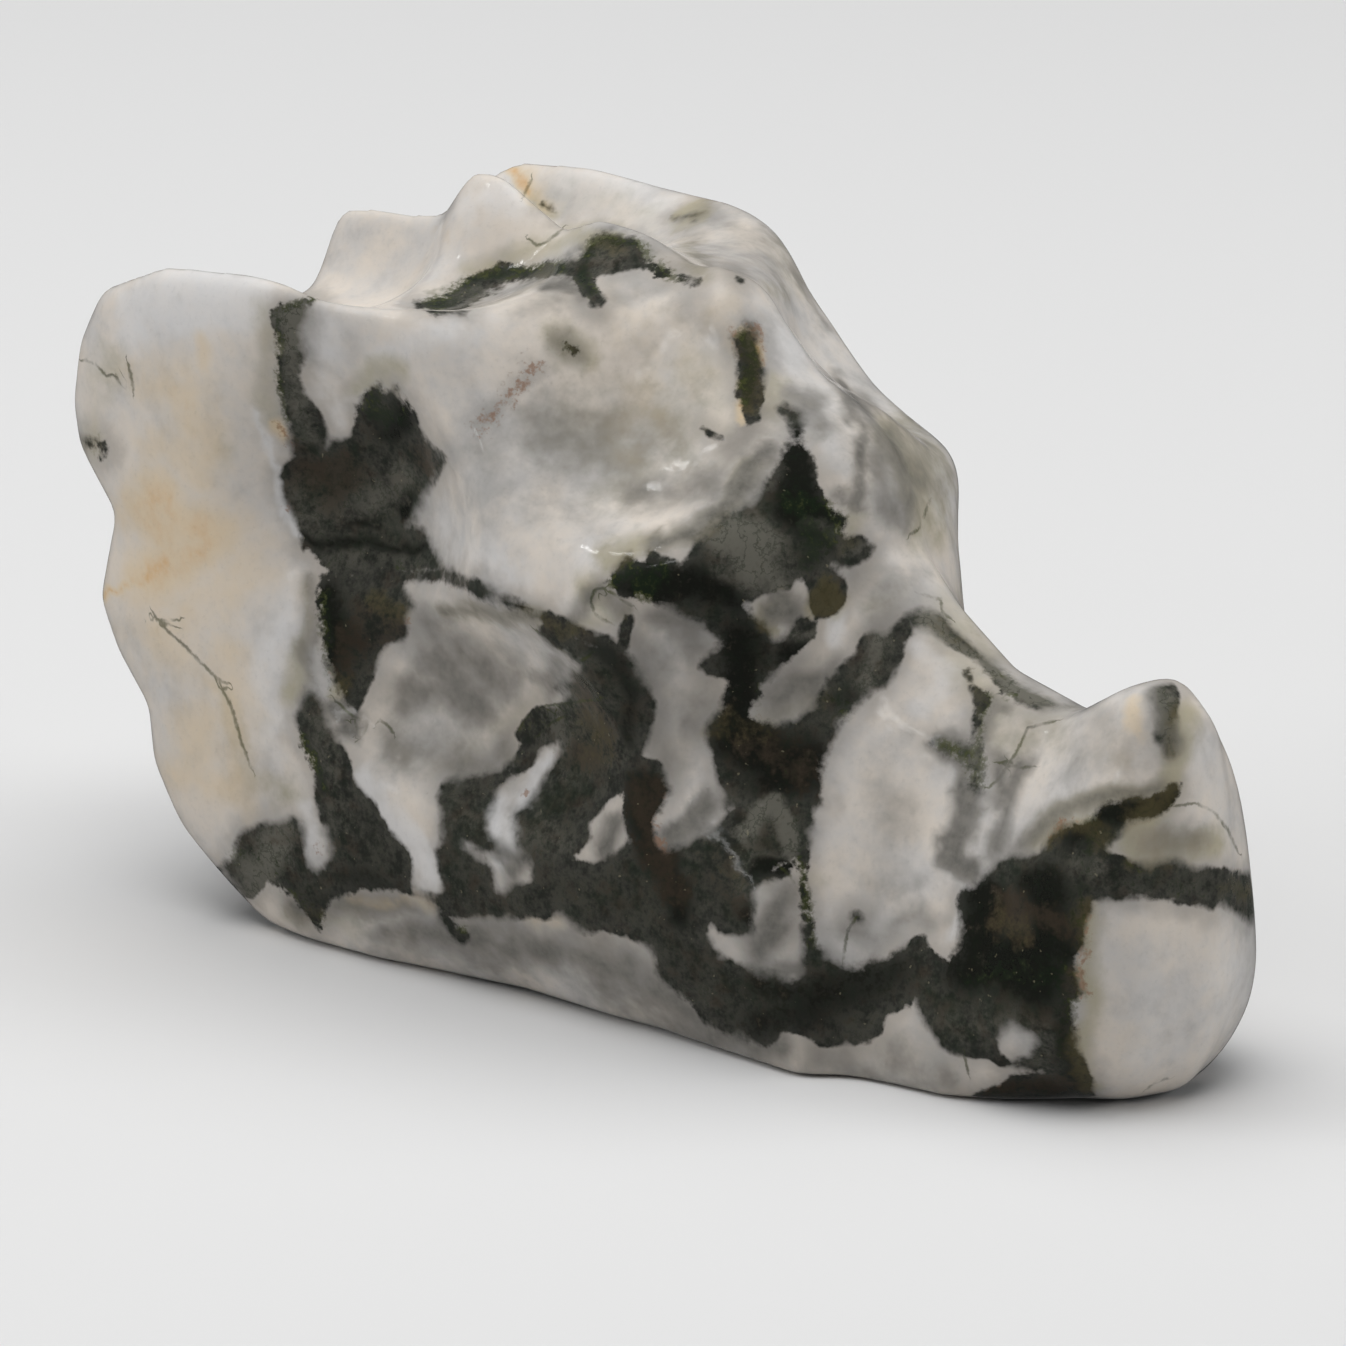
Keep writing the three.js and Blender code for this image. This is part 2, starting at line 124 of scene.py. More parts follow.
# Bars: from, to, the radius at each end and the rounding of the joint.
FRILL_GROOVES = [
    ((-38.0, 17.6, 22.8), (-25.0, 19.0, 20.5), 3.4, 3.4, 1.5),
    ((-36.0, 17.6, 11.2), (-27.0, 19.0, 12.5), 3.2, 3.2, 1.5),
]
CHEEKBONE = ((-2.0, 9.6, 25.0), (5.7, 8.7, 25.4), 2.4, 2.8, 3.0)
LEFT_TEMPLE_EDGE = ((-5.0, 10.6, 31.2), (4.2, 10.4, 26.2), 2.8, 2.8, 3.0)

# The mesh: the edge of its cells, how many cells wide a coarse block is, and how far round the surface
# the field is worked out in full. The least values keep divisions from failing.
CELL = 0.35
BLOCK_CELLS = 4
BAND = 2.8
LOW_CORNER = (-39.0, -17.0, -1.25)
HIGH_CORNER = (39.0, 17.0, 44.5)
SLOPE_STEP = 0.02
LEAST_STEEPNESS = 0.1
LEAST_SIZE = 1e-6
LEAST_SLOPE = 1e-9
PULLS = 2
RELAXATIONS = 2
POLISHES = 4
POLISH_SHARE = 0.5

# How marks on the photograph reach the stone: how squarely a vertex has to face the camera, how far a ray
# starts off the surface, and how many rings past the seen side the marks run on. Millimetres.
GRAZING = 0.03
PLAIN = 0.16
SIGHT_GAP = 0.25
SIGHT_RINGS = 8
SIGHT_FADE = 0.93
MARK_LIMIT = 1.6
LEAST_RUN = 1e-9
THREAD_REACH = 0.8
# A wash fades from inside its strokes to outside them, by these shares of its reach. Washes wander off
# their strokes by this many pixels, in bends of this many millimetres.
WASH_INSET = 0.6
WASH_OUTSET = 1.5
WANDER = 9.0
WANDER_SIZE = 3.2

# The patches on the sides that the photograph doesn't show: their size in millimetres, how deep their
# fields run, and the seeds that they, their bends and the washes' wander grow from. Each layer of noise
# is half as large as the one before, and fainter.
NOISE_PERIOD = 32
NOISE_LAYERS = 5
NOISE_FADE = 1.6
PATCH_SIZE = 11.0
PATCH_DEPTH = 7.0
PATCH_BIAS = 0.12
WASH_SIZE = 6.0
PATCH_SEED = 41
BEND_SEEDS = (131, 132, 133)
WANDER_SEEDS = (241, 341)

# Colours as a screen shows them, from 0 to 255.
WARM_WHITE = (223, 214, 203)
COOL_WHITE = (208, 205, 202)
# Bright white stone, and the colour of painted highlights and painted light.
BRIGHT_WHITE_AND_HIGHLIGHT = (230, 230, 231)
SMOKE = (108, 106, 103)
# The smoke-and-shade greys: smoky stone, and painted shade where the grey washes darken the foot, the cheek
# and the temples.
SMOKE_AND_SHADE_DARK = (92, 91, 87)
SMOKE_AND_SHADE_PALE = (130, 127, 120)
STONE_GREY = (50, 51, 46)
STONE_PALE = (76, 75, 67)
STONE_CLEAR = (112, 110, 101)
STONE_BLACK = (22, 24, 19)
STONE_BROWN = (68, 58, 47)
STONE_OLIVE = (86, 79, 54)
STONE_GREEN = (46, 56, 44)
MOSS_GREEN = (28, 42, 25)
MOSS_PALE = (76, 80, 44)
OLIVE = (168, 160, 130)
ORANGE = (212, 156, 80)
CREAM = (224, 202, 166)
RUST = (146, 106, 78)

# The noises that the material grows from: blob size in millimetres, detail, roughness and shift.
NOISES = {
    "broad": (2.2, 3.0, 0.55, 0.0),
    "middling": (0.8, 3.0, 0.55, 11.0),
    "fine": (0.3, 3.0, 0.6, 23.0),
    "cloud": (5.0, 3.0, 0.55, 37.0),
    "veins": (1.4, 4.0, 0.6, 103.0),
    "veil": (1.6, 4.0, 0.6, 71.0),
    "wisp": (2.6, 5.0, 0.65, 131.0),
    "speck": (0.35, 1.0, 0.5, 83.0),
    "polish": (1.5, 4.0, 0.7, 51.0),
    "waves": (3.0, 2.0, 0.55, 67.0),
}
SHIFT_WAY = (1.0, -1.0, 0.7)

# A level is a sum of named fields, each with its weight. The edge of the dark stone is ragged, more so in
# moss, and blurred in clouds, less so in moss.
MOTTLE = {"broad": 0.9, "middling": 1.0, "fine": 0.9}
BLACK_AS_MOSS = 0.6
EDGE = {"dark": 1.0, "broad": 1.15, "middling": 0.4, "fine": 0.12}
MOSSY_EDGE = {"middling": 0.7, "fine": 0.9}
BLUR_CLOUDS = {"cloud": 1.0, "broad": 0.6}
BLUR_RANGE = (-0.15, 0.25)
LEAST_BLUR = 0.12
CLOUDY_BLUR = 0.4125
MOSS_SHARPENS = -0.275
DEPTH = {"edge": 1.0, "broad": 1.2}
DEPTH_RANGE = (0.1, -1.5)

# Layers of colour from the lowest up: the colour or the field that holds it, the layer's strength, the
# levels at which it starts and is full, and the level's fields. They lie on white, then on dark stone.
# The colour of the grey washes: smoky stone, and painted shade.
SMOKE_AND_SHADE_CLOUDS = (SMOKE_AND_SHADE_PALE, 1.0, -0.25, 0.25, {"middling": 0.9, "fine": 0.3, "cloud": 0.4})
WHITE_LAYERS = [
    (COOL_WHITE, 1.0, -0.22, 0.22, {"cloud": 1.0, "middling": 0.3}),
    (SMOKE, 0.18, -0.02, 0.4, {"cloud": 1.0, "veil": 1.2}),
    (SMOKE, 0.38, 1.4, 0.0, {"edge": 1.0, "broad": 1.2}),
    # Bright white stone, and painted highlights and painted light.
    (BRIGHT_WHITE_AND_HIGHLIGHT, 0.6, 0.2, 1.1, {"bright_and_highlight": 1.0, "broad": 1.1}),
    (OLIVE, 0.7, 0.1, 1.2, {"olive": 1.0, "broad": 0.9, "middling": 0.5}),
    # Smoky grey stone, and painted shade on the foot, the cheek and the temples.
    ("smoke_and_shade_colour", 0.95, 0.05, 1.35, {"smoke_and_shade": 1.0, "broad": 0.9, "middling": 0.35, "fine": 0.1}),
    (CREAM, 0.7, 0.1, 0.8, {"orange": 1.0, "broad": 0.5, "cloud": 0.3}),
    (ORANGE, 0.6, 0.6, 1.2, {"orange": 1.0, "broad": 0.5, "cloud": 0.3, "middling": 0.5}),
    (RUST, 0.65, 0.7, 1.3, {"brown": 1.0, "fine": 2.2, "middling": 1.5}),
    (MOSS_PALE, 0.4, 0.75, 1.4, {"green": 1.0, "middling": 1.8, "broad": 0.8}),
    (SMOKE, 0.1, 0.02, 0.3, {"fine": 1.0}),
]
DARK_LAYERS = [
    (STONE_PALE, 1.0, -0.25, 0.35, {"mottle": 1.0}),
    (STONE_BROWN, 0.55, -0.02, 0.22, {"veins": 1.0, "cloud": 0.5}),
    (STONE_GREEN, 0.5, -0.05, 0.25, {"cloud": 1.0, "middling": -0.7}),
    (STONE_CLEAR, 0.25, 0.06, 0.26, {"wisp": 1.0, "black": -0.3}),
    (SMOKE, 0.1, 1.0, 0.0, {"depth": 1.0}),
    (STONE_BLACK, 0.45, 0.0, 0.45, {"mottle": -1.0}),
    (STONE_BLACK, 0.95, 0.1, 0.9, {"black": 1.0, "mottle": 1.1}),
    (STONE_CLEAR, 0.9, 0.1, 1.2, {"clear": 1.0, "mottle": 0.8}),
    (STONE_BROWN, 0.6, 0.2, 1.1, {"brown": 1.0, "mottle": 1.6}),
    (STONE_OLIVE, 0.75, 0.2, 1.1, {"olive": 1.0, "mottle": 0.9}),
]
MOSS_LAYERS = [
    (MOSS_GREEN, 0.65, 0.5, 1.0, {"green": 1.0, "middling": 0.9, "fine": 1.6}),
    (MOSS_PALE, 0.4, 0.9, 1.5, {"green": 1.0, "fine": 2.2, "broad": 0.8}),
    (OLIVE, 0.3, 0.24, 0.3, {"speck": 1.0}),
]

# Lines of colour, where a level is near zero: within the first width they are full, and beyond the
# second they are gone. Filaments lie in the dark stone, a mossy fringe along its edge, and threads last.
FILAMENT_WIDTH = (0.0, 0.03)
FILAMENT = 0.2
FILAMENT_IN_CLEAR = 0.25
CLEAR_LEVEL = {"clear": 1.0, "mottle": 0.8}
CLEAR_RANGE = (0.1, 1.2)
FRINGE_LINE = {"edge": 1.0, "fine": 1.2}
FRINGE_WIDTH = (0.05, 0.4)
FRINGE_MOSS = {"green": 1.0, "middling": 1.5}
FRINGE_RANGE = (0.45, 1.0)
FRINGE = 0.6
THREAD_LINE = {"thread_side": 1.0, "fine": 0.22, "middling": 0.12}
THREAD_WIDTH = (0.02, 0.14)
THREAD_END = (0.35, 0.6)
THREAD_BREAKS = {"broad": 1.0, "middling": 0.8}
THREAD_BREAK_RANGE = (-0.25, 0.15)
THREAD_CLOUDS = (MOSS_PALE, 1.0, -0.2, 0.2, {"middling": 1.0})
THREAD = 0.7

# The polish, the light that spreads below the surface, and the faint waves that polishing leaves.
ROUGHNESS = 0.105
ROUGHNESS_CHANGE = 0.1
SHADER = {
    "Specular IOR Level": 0.42,
    "Subsurface Weight": 0.2,
    "Subsurface Radius": (1.0, 0.95, 0.9),
    "Subsurface Scale": 0.0006,
}
RELIEF = {"waves": 1.0, "fine": 0.06}
BUMP = {"Strength": 0.5, "Distance": 0.00025}

# The studio, in metres and watts: each light's place, size and power, and whether the stone mirrors it.
NEAR_LIMIT = 0.05
FLOOR_REACH = 3
FLOOR_COLOUR = (0.74, 0.74, 0.74, 1.0)
FLOOR_ROUGHNESS = 0.9
WORLD_STRENGTH = 0.08
LIGHT_TARGET = (0.0, 0.0, 0.02)
LIGHTS = {
    "tent_top": ((-0.05, 0.0, 0.6), (0.8, 0.8), 4.75, False),
    "tent_left": ((-0.55, -0.5, 0.3), (0.4, 0.4), 1.45, False),
    "tent_right": ((0.6, 0.5, 0.3), (0.4, 0.4), 1.8, False),
    "lamp": ((-0.3, -0.18, 0.43), (0.06, 0.012), 0.045, True),
    "front_lamp": ((0.0, -0.5, 0.35), (0.12, 0.02), 0.045, True),
}

# The stone's colours on the side that the photograph shows, as closed outlines in its pixels. Dark
# stone comes first, then the pale islands in it, then the dark marks on those islands.
DARK_OUTLINES = {
    "strip beside the frill": [(270, 313), (283, 306), (318, 296), (311, 306), (302, 329), (304, 358),
        (300, 379), (328, 432), (331, 452), (322, 470), (300, 470), (290, 447), (288, 426), (280, 403),
        (278, 382), (280, 361)],
    "hollow behind the cheekbone": [(331, 440), (348, 437), (356, 425), (359, 397), (370, 384),
        (377, 381), (386, 389), (396, 385), (404, 395), (425, 438), (446, 460), (441, 473), (417, 512),
        (413, 526), (423, 529), (446, 568), (440, 573), (412, 571), (360, 577), (333, 577), (308, 546),
        (303, 549), (289, 504), (282, 493), (281, 478), (288, 462), (300, 452), (318, 450)],
    "moss at the cheek's back": [(317, 594), (318, 583), (333, 577), (386, 576), (403, 583), (415, 604),
        (408, 617), (407, 628), (402, 640), (390, 642), (384, 648), (379, 668), (356, 710), (345, 704),
        (329, 673), (324, 657)],
    "band below the frill": [(302, 686), (296, 717), (302, 746), (310, 760), (315, 778), (315, 793),
        (331, 856), (323, 869), (315, 875), (307, 866), (303, 856), (304, 835), (299, 820), (291, 816),
        (254, 824), (241, 832), (228, 858), (218, 868), (243, 900), (256, 893), (268, 882), (281, 887),
        (315, 922), (319, 931), (323, 908), (331, 898), (346, 893), (373, 889), (412, 893), (413, 861),
        (409, 850), (386, 822), (375, 803), (353, 778), (349, 760), (327, 707), (316, 688)],
    "moss in the cheek's front": [(552, 622), (620, 655), (638, 668), (650, 690), (654, 712), (650, 738),
        (641, 757), (622, 775), (575, 797), (534, 806), (530, 800), (543, 772), (556, 757), (558, 744),
        (545, 748), (531, 765), (517, 773), (499, 771), (525, 746), (517, 731), (525, 717), (541, 707),
        (560, 701), (565, 694), (554, 688), (570, 680), (576, 664), (566, 652), (546, 640), (535, 629)],
    "below the cheek": [(425, 895), (412, 893), (443, 893), (436, 850), (441, 840), (437, 797),
        (447, 781), (465, 775), (499, 771), (540, 760), (600, 770), (641, 757), (660, 762), (672, 790),
        (652, 822), (660, 846), (681, 848), (712, 831), (740, 800), (815, 800), (808, 880), (810, 916),
        (814, 937), (820, 950), (833, 963), (847, 968), (860, 968), (870, 958), (886, 958), (915, 939),
        (926, 936), (929, 950), (939, 961), (1000, 950), (1000, 1062), (983, 1056), (965, 1057),
        (950, 1053), (926, 1027), (914, 1003), (889, 1016), (880, 1035), (870, 1043), (855, 1046),
        (820, 1045), (797, 1033), (787, 1034), (778, 1043), (767, 1046), (754, 1044), (740, 1037),
        (728, 1035), (712, 1027), (696, 1006), (665, 982), (655, 971), (653, 958), (647, 947),
        (628, 937), (604, 930), (591, 935), (578, 930), (568, 922), (554, 916), (544, 918), (465, 919),
        (440, 910)],
    "middle column": [(815, 810), (722, 810), (717, 767), (703, 733), (706, 722), (714, 712), (723, 683),
        (707, 678), (699, 670), (702, 659), (715, 649), (720, 641), (697, 620), (620, 594), (604, 583),
        (623, 557), (632, 551), (636, 566), (646, 562), (649, 549), (662, 557), (681, 563), (690, 552),
        (694, 541), (707, 525), (752, 501), (773, 474), (783, 447), (790, 440), (787, 423), (775, 408),
        (785, 402), (802, 413), (808, 429), (803, 441), (818, 470), (819, 486), (836, 515), (847, 520),
        (842, 530), (847, 538), (860, 536), (876, 547), (866, 560), (850, 566), (833, 566), (844, 580),
        (846, 598), (838, 612), (826, 619), (812, 615), (806, 600), (808, 580), (799, 581), (790, 590),
        (765, 592), (738, 607), (752, 616), (768, 620), (776, 637), (789, 632), (800, 615), (815, 622),
        (817, 636), (773, 678), (762, 683), (757, 699), (749, 707), (747, 717), (755, 722), (776, 723),
        (797, 720), (810, 709), (826, 678), (833, 675), (855, 654), (862, 636), (873, 630), (886, 633),
        (907, 614), (923, 609), (940, 614), (980, 652), (1030, 690), (1060, 703), (1094, 708),
        (1040, 712), (1015, 703), (1000, 690), (975, 660), (930, 632), (915, 630), (906, 640),
        (897, 675), (886, 688), (875, 692), (863, 701), (853, 714), (839, 725), (826, 759), (823, 780),
        (824, 806)],
    "nose mass": [(948, 960), (955, 948), (961, 898), (968, 887), (997, 864), (1010, 857), (1039, 852),
        (1057, 822), (1070, 824), (1086, 818), (1097, 807), (1128, 798), (1150, 797), (1163, 793),
        (1167, 780), (1183, 783), (1173, 806), (1147, 820), (1131, 823), (1123, 832), (1108, 840),
        (1103, 850), (1114, 858), (1136, 862), (1162, 860), (1210, 865), (1234, 871), (1270, 874),
        (1270, 928), (1245, 919), (1234, 911), (1218, 906), (1210, 911), (1199, 906), (1123, 898),
        (1105, 899), (1094, 903), (1094, 914), (1086, 924), (1084, 937), (1072, 961), (1084, 995),
        (1070, 1003), (1072, 1020), (1094, 1082), (1092, 1115), (955, 1115), (975, 1094), (1007, 1079),
        (1040, 1072), (1002, 1065), (994, 1058), (965, 1057), (945, 1000)],
    "moss along the crest's foot": [(415, 301), (440, 297), (483, 270), (500, 263), (530, 268),
        (560, 262), (578, 255), (590, 240), (603, 233), (620, 232), (636, 236), (645, 247), (648, 262),
        (700, 284), (690, 286), (640, 266), (590, 278), (608, 300), (600, 308), (590, 305), (570, 278),
        (550, 276), (510, 282), (480, 299), (466, 310), (466, 316), (440, 314), (415, 306)],
    "moss below the spike": [(745, 320), (752, 324), (760, 335), (765, 370), (762, 403), (756, 420),
        (748, 424), (742, 405), (733, 398), (737, 360), (731, 338), (742, 328)],
}
PALE_OUTLINES = {
    "streak under the cheek": [(541, 752), (557, 744), (556, 758), (528, 806), (516, 812), (512, 820),
        (513, 846), (528, 867), (528, 880), (508, 881), (504, 887), (496, 892), (496, 872), (489, 861),
        (466, 848), (465, 842), (482, 850), (497, 852), (494, 840), (482, 830), (499, 790), (515, 775),
        (530, 766)],
    "patch under the cheek": [(608, 798), (623, 792), (623, 822), (628, 840), (622, 847), (607, 852),
        (597, 860), (566, 861), (594, 842), (591, 824)],
    "patch on the jaw": [(754, 890), (762, 879), (795, 858), (801, 870), (803, 900), (800, 930),
        (803, 950), (800, 972), (791, 978), (725, 958), (715, 948), (708, 932), (711, 920), (718, 932),
        (739, 938), (753, 934), (756, 919)],
    "spot on the nose": [(1000, 1040), (1012, 1028), (1030, 1030), (1038, 1042), (1030, 1056),
        (1010, 1062), (998, 1056)],
}
# Dark strokes on the pale stone: points with the half width at each, in the photograph's pixels.
DARK_STROKES = {
    "cheek's rim": [(440, 570, 7), (465, 584, 6), (528, 609, 6), (610, 648, 7), (628, 662, 6)],
    "line up from the rim": [(622, 650, 5), (628, 618, 2)],
    "clump on the jaw": [(745, 850, 5), (743, 868, 8), (752, 883, 4)],
    "clump's lower side": [(748, 872, 7), (770, 877, 5), (785, 870, 6), (794, 861, 3)],
    "clump's upper side": [(752, 856, 3), (766, 852, 3), (775, 858, 5), (790, 862, 4)],
    "filament on the jaw": [(803, 845, 4), (806, 900, 2), (808, 925, 3), (806, 945, 4), (808, 965, 7)],
    "jaw's disc": [(722, 915, 10), (738, 914, 19)],
    "dot on the snout": [(855, 917, 6), (858, 919, 5)],
    "crest's spot": [(738, 278, 3), (741, 280, 3)],
    "hollow's foot": [(325, 577, 5), (375, 578, 6), (440, 574, 7)],
    "leaf": [(704, 429, 1.5), (712, 434, 2), (722, 437, 2.5)],
    "tuft on the snout": [(976, 690, 5), (982, 700, 9), (979, 712, 4), (977, 735, 3), (978, 760, 4),
        (976, 790, 5)],
    "tuft's side": [(935, 742, 3), (950, 748, 6), (966, 752, 5), (974, 766, 4)],
    "snout's spot": [(966, 672, 6), (972, 690, 4)],
    "jaw's leaf": [(455, 932, 4), (463, 936, 6)],
    "leaf's stalk": [(437, 905, 1.5), (443, 918, 2), (452, 928, 2)],
    "frill's back spot": [(88, 442, 7), (104, 444, 5), (101, 458, 2)],
    "nose's smoke": [(1166, 695, 12), (1168, 715, 10), (1163, 735, 10), (1170, 750, 8)],
    "brow's tail": [(660, 268, 3), (680, 276, 3), (700, 281, 2)],
    "far frill's moss": [(542, 205, 2), (550, 207, 3), (556, 214, 2)],
    "far frill's streak": [(674, 219, 1), (690, 216, 2.5), (706, 211, 1)],
    "temple smudge": [(566, 344, 2), (574, 350, 3)],
}
# Fine threads of moss, one line each.
THREADS = {
    "frill's long thread": [(153, 613), (160, 624), (184, 645), (214, 676), (227, 684)],
    "frill's thread goes on": [(219, 685), (231, 706), (240, 738), (252, 770)],
    "frill's side thread": [(152, 620), (178, 620)],
    "frill's back threads": [(84, 360), (96, 364), (106, 376), (114, 374), (120, 384)],
    "frill's front spots": [(128, 362), (134, 392)],
    "threads at the cheek": [(336, 700), (347, 712), (360, 720), (368, 716), (366, 730), (360, 738),
        (356, 724)],
    "more at the cheek": [(380, 720), (388, 725), (392, 732)],
    "hook": [(604, 588), (594, 590), (591, 600), (594, 614), (618, 628)],
    "thread over the hook": [(610, 592), (632, 606)],
    "crest's thread": [(530, 240), (537, 246), (545, 243), (562, 230)],
    "far thread": [(524, 195), (531, 180)],
    "jaw's thread": [(781, 868), (790, 876), (804, 902)],
    "dot's tail": [(855, 920), (848, 930), (843, 958)],
    "bridge thread": [(1056, 721), (1028, 728), (1014, 756), (1008, 764)],
    "bridge tuft": [(1000, 762), (1020, 768), (1033, 766)],
    "bridge's root": [(1006, 768), (998, 780), (990, 786)],
    "brow thread": [(921, 594), (941, 600), (942, 612), (950, 618)],
    "nose threads": [(1176, 806), (1196, 803), (1214, 812), (1228, 830), (1238, 852)],
    "dark lines at the nose": [(1097, 843), (1136, 869)],
    "nose's foot": [(1148, 1088), (1155, 1082), (1168, 1078)],
    "jaw's foot": [(964, 1055), (968, 1073)],
    "far brow threads": [(930, 500), (920, 528), (912, 534)],
    "cheek threads": [(535, 629), (548, 642), (580, 662), (590, 655)],
    "cheek's inner thread": [(518, 732), (528, 716), (545, 706), (600, 699)],
    "cheek's lower thread": [(520, 732), (528, 744), (552, 722), (566, 716)],
}
# Soft washes of colour: a strength, a reach beyond each point's half width, and strokes as above.
BLACK_WASHES = {
    "flame": (0.8, 12, [(398, 395, 4), (400, 412, 8), (392, 428, 8)]),
    "ledge's line": (0.8, 6, [(302, 538, 3), (335, 546, 3), (380, 549, 3), (425, 547, 3)]),
    "hollow's pits": (1.0, 6, [(346, 500, 3), (352, 520, 4), (368, 522, 3)]),
    "more pits": (1.0, 6, [(382, 478, 3), (394, 500, 3), (410, 497, 4), (404, 512, 3)]),
    "hollow's rim": (0.5, 8, [(430, 574, 6), (530, 610, 5)]),
    "cheek's back": (0.9, 18, [(328, 600, 8), (346, 642, 10), (336, 665, 6), (340, 685, 6)]),
    "cheek's rim": (0.6, 8, [(600, 645, 5), (625, 662, 5), (640, 690, 4), (632, 730, 3)]),
    "column": (1.0, 22, [(735, 640, 8), (742, 690, 10), (745, 740, 22), (770, 760, 22), (800, 760, 18)]),
    "column's side": (0.9, 14, [(780, 655, 8), (795, 645, 4)]),
    "eye": (1.0, 18, [(795, 450, 10), (800, 480, 14), (790, 505, 16), (815, 520, 16), (830, 540, 6)]),
    "green clump": (0.9, 14, [(620, 585, 6), (650, 580, 12), (690, 585, 14), (730, 610, 4)]),
    "brown stripe": (0.9, 12, [(645, 780, 14), (638, 815, 12), (655, 850, 8), (672, 880, 8),
        (675, 915, 6)]),
    "nose": (1.0, 20, [(985, 900, 14), (975, 960, 16), (1030, 970, 20), (1050, 940, 16),
        (1050, 890, 14)]),
    "nose's upper arm": (1.0, 16, [(1075, 840, 8), (1100, 820, 8), (1140, 808, 8), (1165, 798, 6)]),
    "dark foot": (0.7, 10, [(990, 1094, 4), (1080, 1085, 6)]),
    "nose's edge": (0.6, 10, [(1060, 1000, 5), (1065, 1040, 5), (1080, 1075, 6)]),
    "jaw": (0.6, 16, [(760, 985, 8), (800, 1000, 8), (850, 985, 12), (900, 975, 12), (760, 1030, 10)]),
    "snout's root": (0.4, 10, [(845, 690, 8)]),
    "clump": (1.0, 6, [(745, 868, 6), (775, 868, 6), (792, 862, 4)]),
    "disc": (0.7, 10, [(742, 910, 6), (745, 918, 6)]),
    "spike": (0.3, 8, [(745, 350, 4), (745, 385, 8), (750, 395, 6)]),
    "below the band": (0.5, 10, [(345, 880, 4), (400, 885, 4), (320, 905, 3)]),
    "knob": (0.5, 5, [(592, 255, 3), (600, 240, 3)]),
}
CLEAR_WASHES = {
    "under the frill": (1.2, 20, [(262, 870, 14), (280, 850, 8), (250, 895, 6)]),
    "band": (0.35, 14, [(320, 720, 5), (345, 820, 10)]),
    "hollow": (0.6, 16, [(295, 488, 8), (300, 520, 6), (350, 505, 14), (405, 480, 10)]),
    "ledge": (0.45, 10, [(325, 563, 6), (420, 562, 6)]),
    "cheek's front": (0.55, 16, [(600, 720, 14), (600, 745, 16), (580, 700, 10), (555, 720, 10),
        (570, 770, 6)]),
    "below the cheek": (0.3, 14, [(540, 830, 12), (560, 845, 10), (470, 820, 10)]),
    "eye's smoke": (1.2, 22, [(735, 535, 12), (755, 550, 16), (750, 570, 12), (775, 575, 8)]),
    "eye's right": (0.6, 10, [(802, 525, 4), (855, 555, 6)]),
    "side of the column": (0.7, 8, [(765, 625, 8), (805, 632, 6)]),
    "snout's line": (1.4, 12, [(930, 620, 5), (960, 642, 5), (1000, 680, 8), (1040, 703, 6),
        (1080, 710, 5)]),
    "jaw's clear": (0.4, 12, [(742, 840, 6), (738, 860, 8), (742, 880, 5)]),
    "nose's smoke": (0.3, 18, [(960, 1030, 12), (1040, 1020, 10), (1050, 1055, 8)]),
    "nose": (0.5, 10, [(1080, 860, 8), (1100, 870, 6)]),
    "nose's smudge": (1.0, 14, [(1166, 700, 12), (1168, 740, 12)]),
    "snout's root": (0.75, 12, [(880, 640, 8), (860, 680, 6)]),
    "tuft": (0.9, 10, [(940, 742, 8), (962, 752, 12), (966, 780, 8)]),
    "column's top": (0.5, 12, [(770, 475, 8), (765, 490, 6)]),
    "strip beside the frill": (0.8, 14, [(290, 315, 8), (290, 340, 6), (308, 430, 8)]),
    "nose's lower arm": (0.25, 12, [(1120, 884, 8), (1240, 890, 8)]),
    "crest's foot": (0.45, 10, [(430, 305, 6), (500, 272, 6), (560, 268, 6)]),
    "crest's knob": (0.5, 10, [(600, 260, 8), (625, 250, 8), (600, 290, 8)]),
    "strip's top": (1.4, 14, [(280, 320, 8), (300, 308, 8), (292, 345, 6)]),
    "jaw's haze": (1.3, 10, [(745, 830, 6), (752, 818, 6), (772, 800, 8), (785, 820, 8), (790, 845, 6)]),
    "column's eye": (0.6, 12, [(715, 575, 8), (745, 580, 8)]),
}
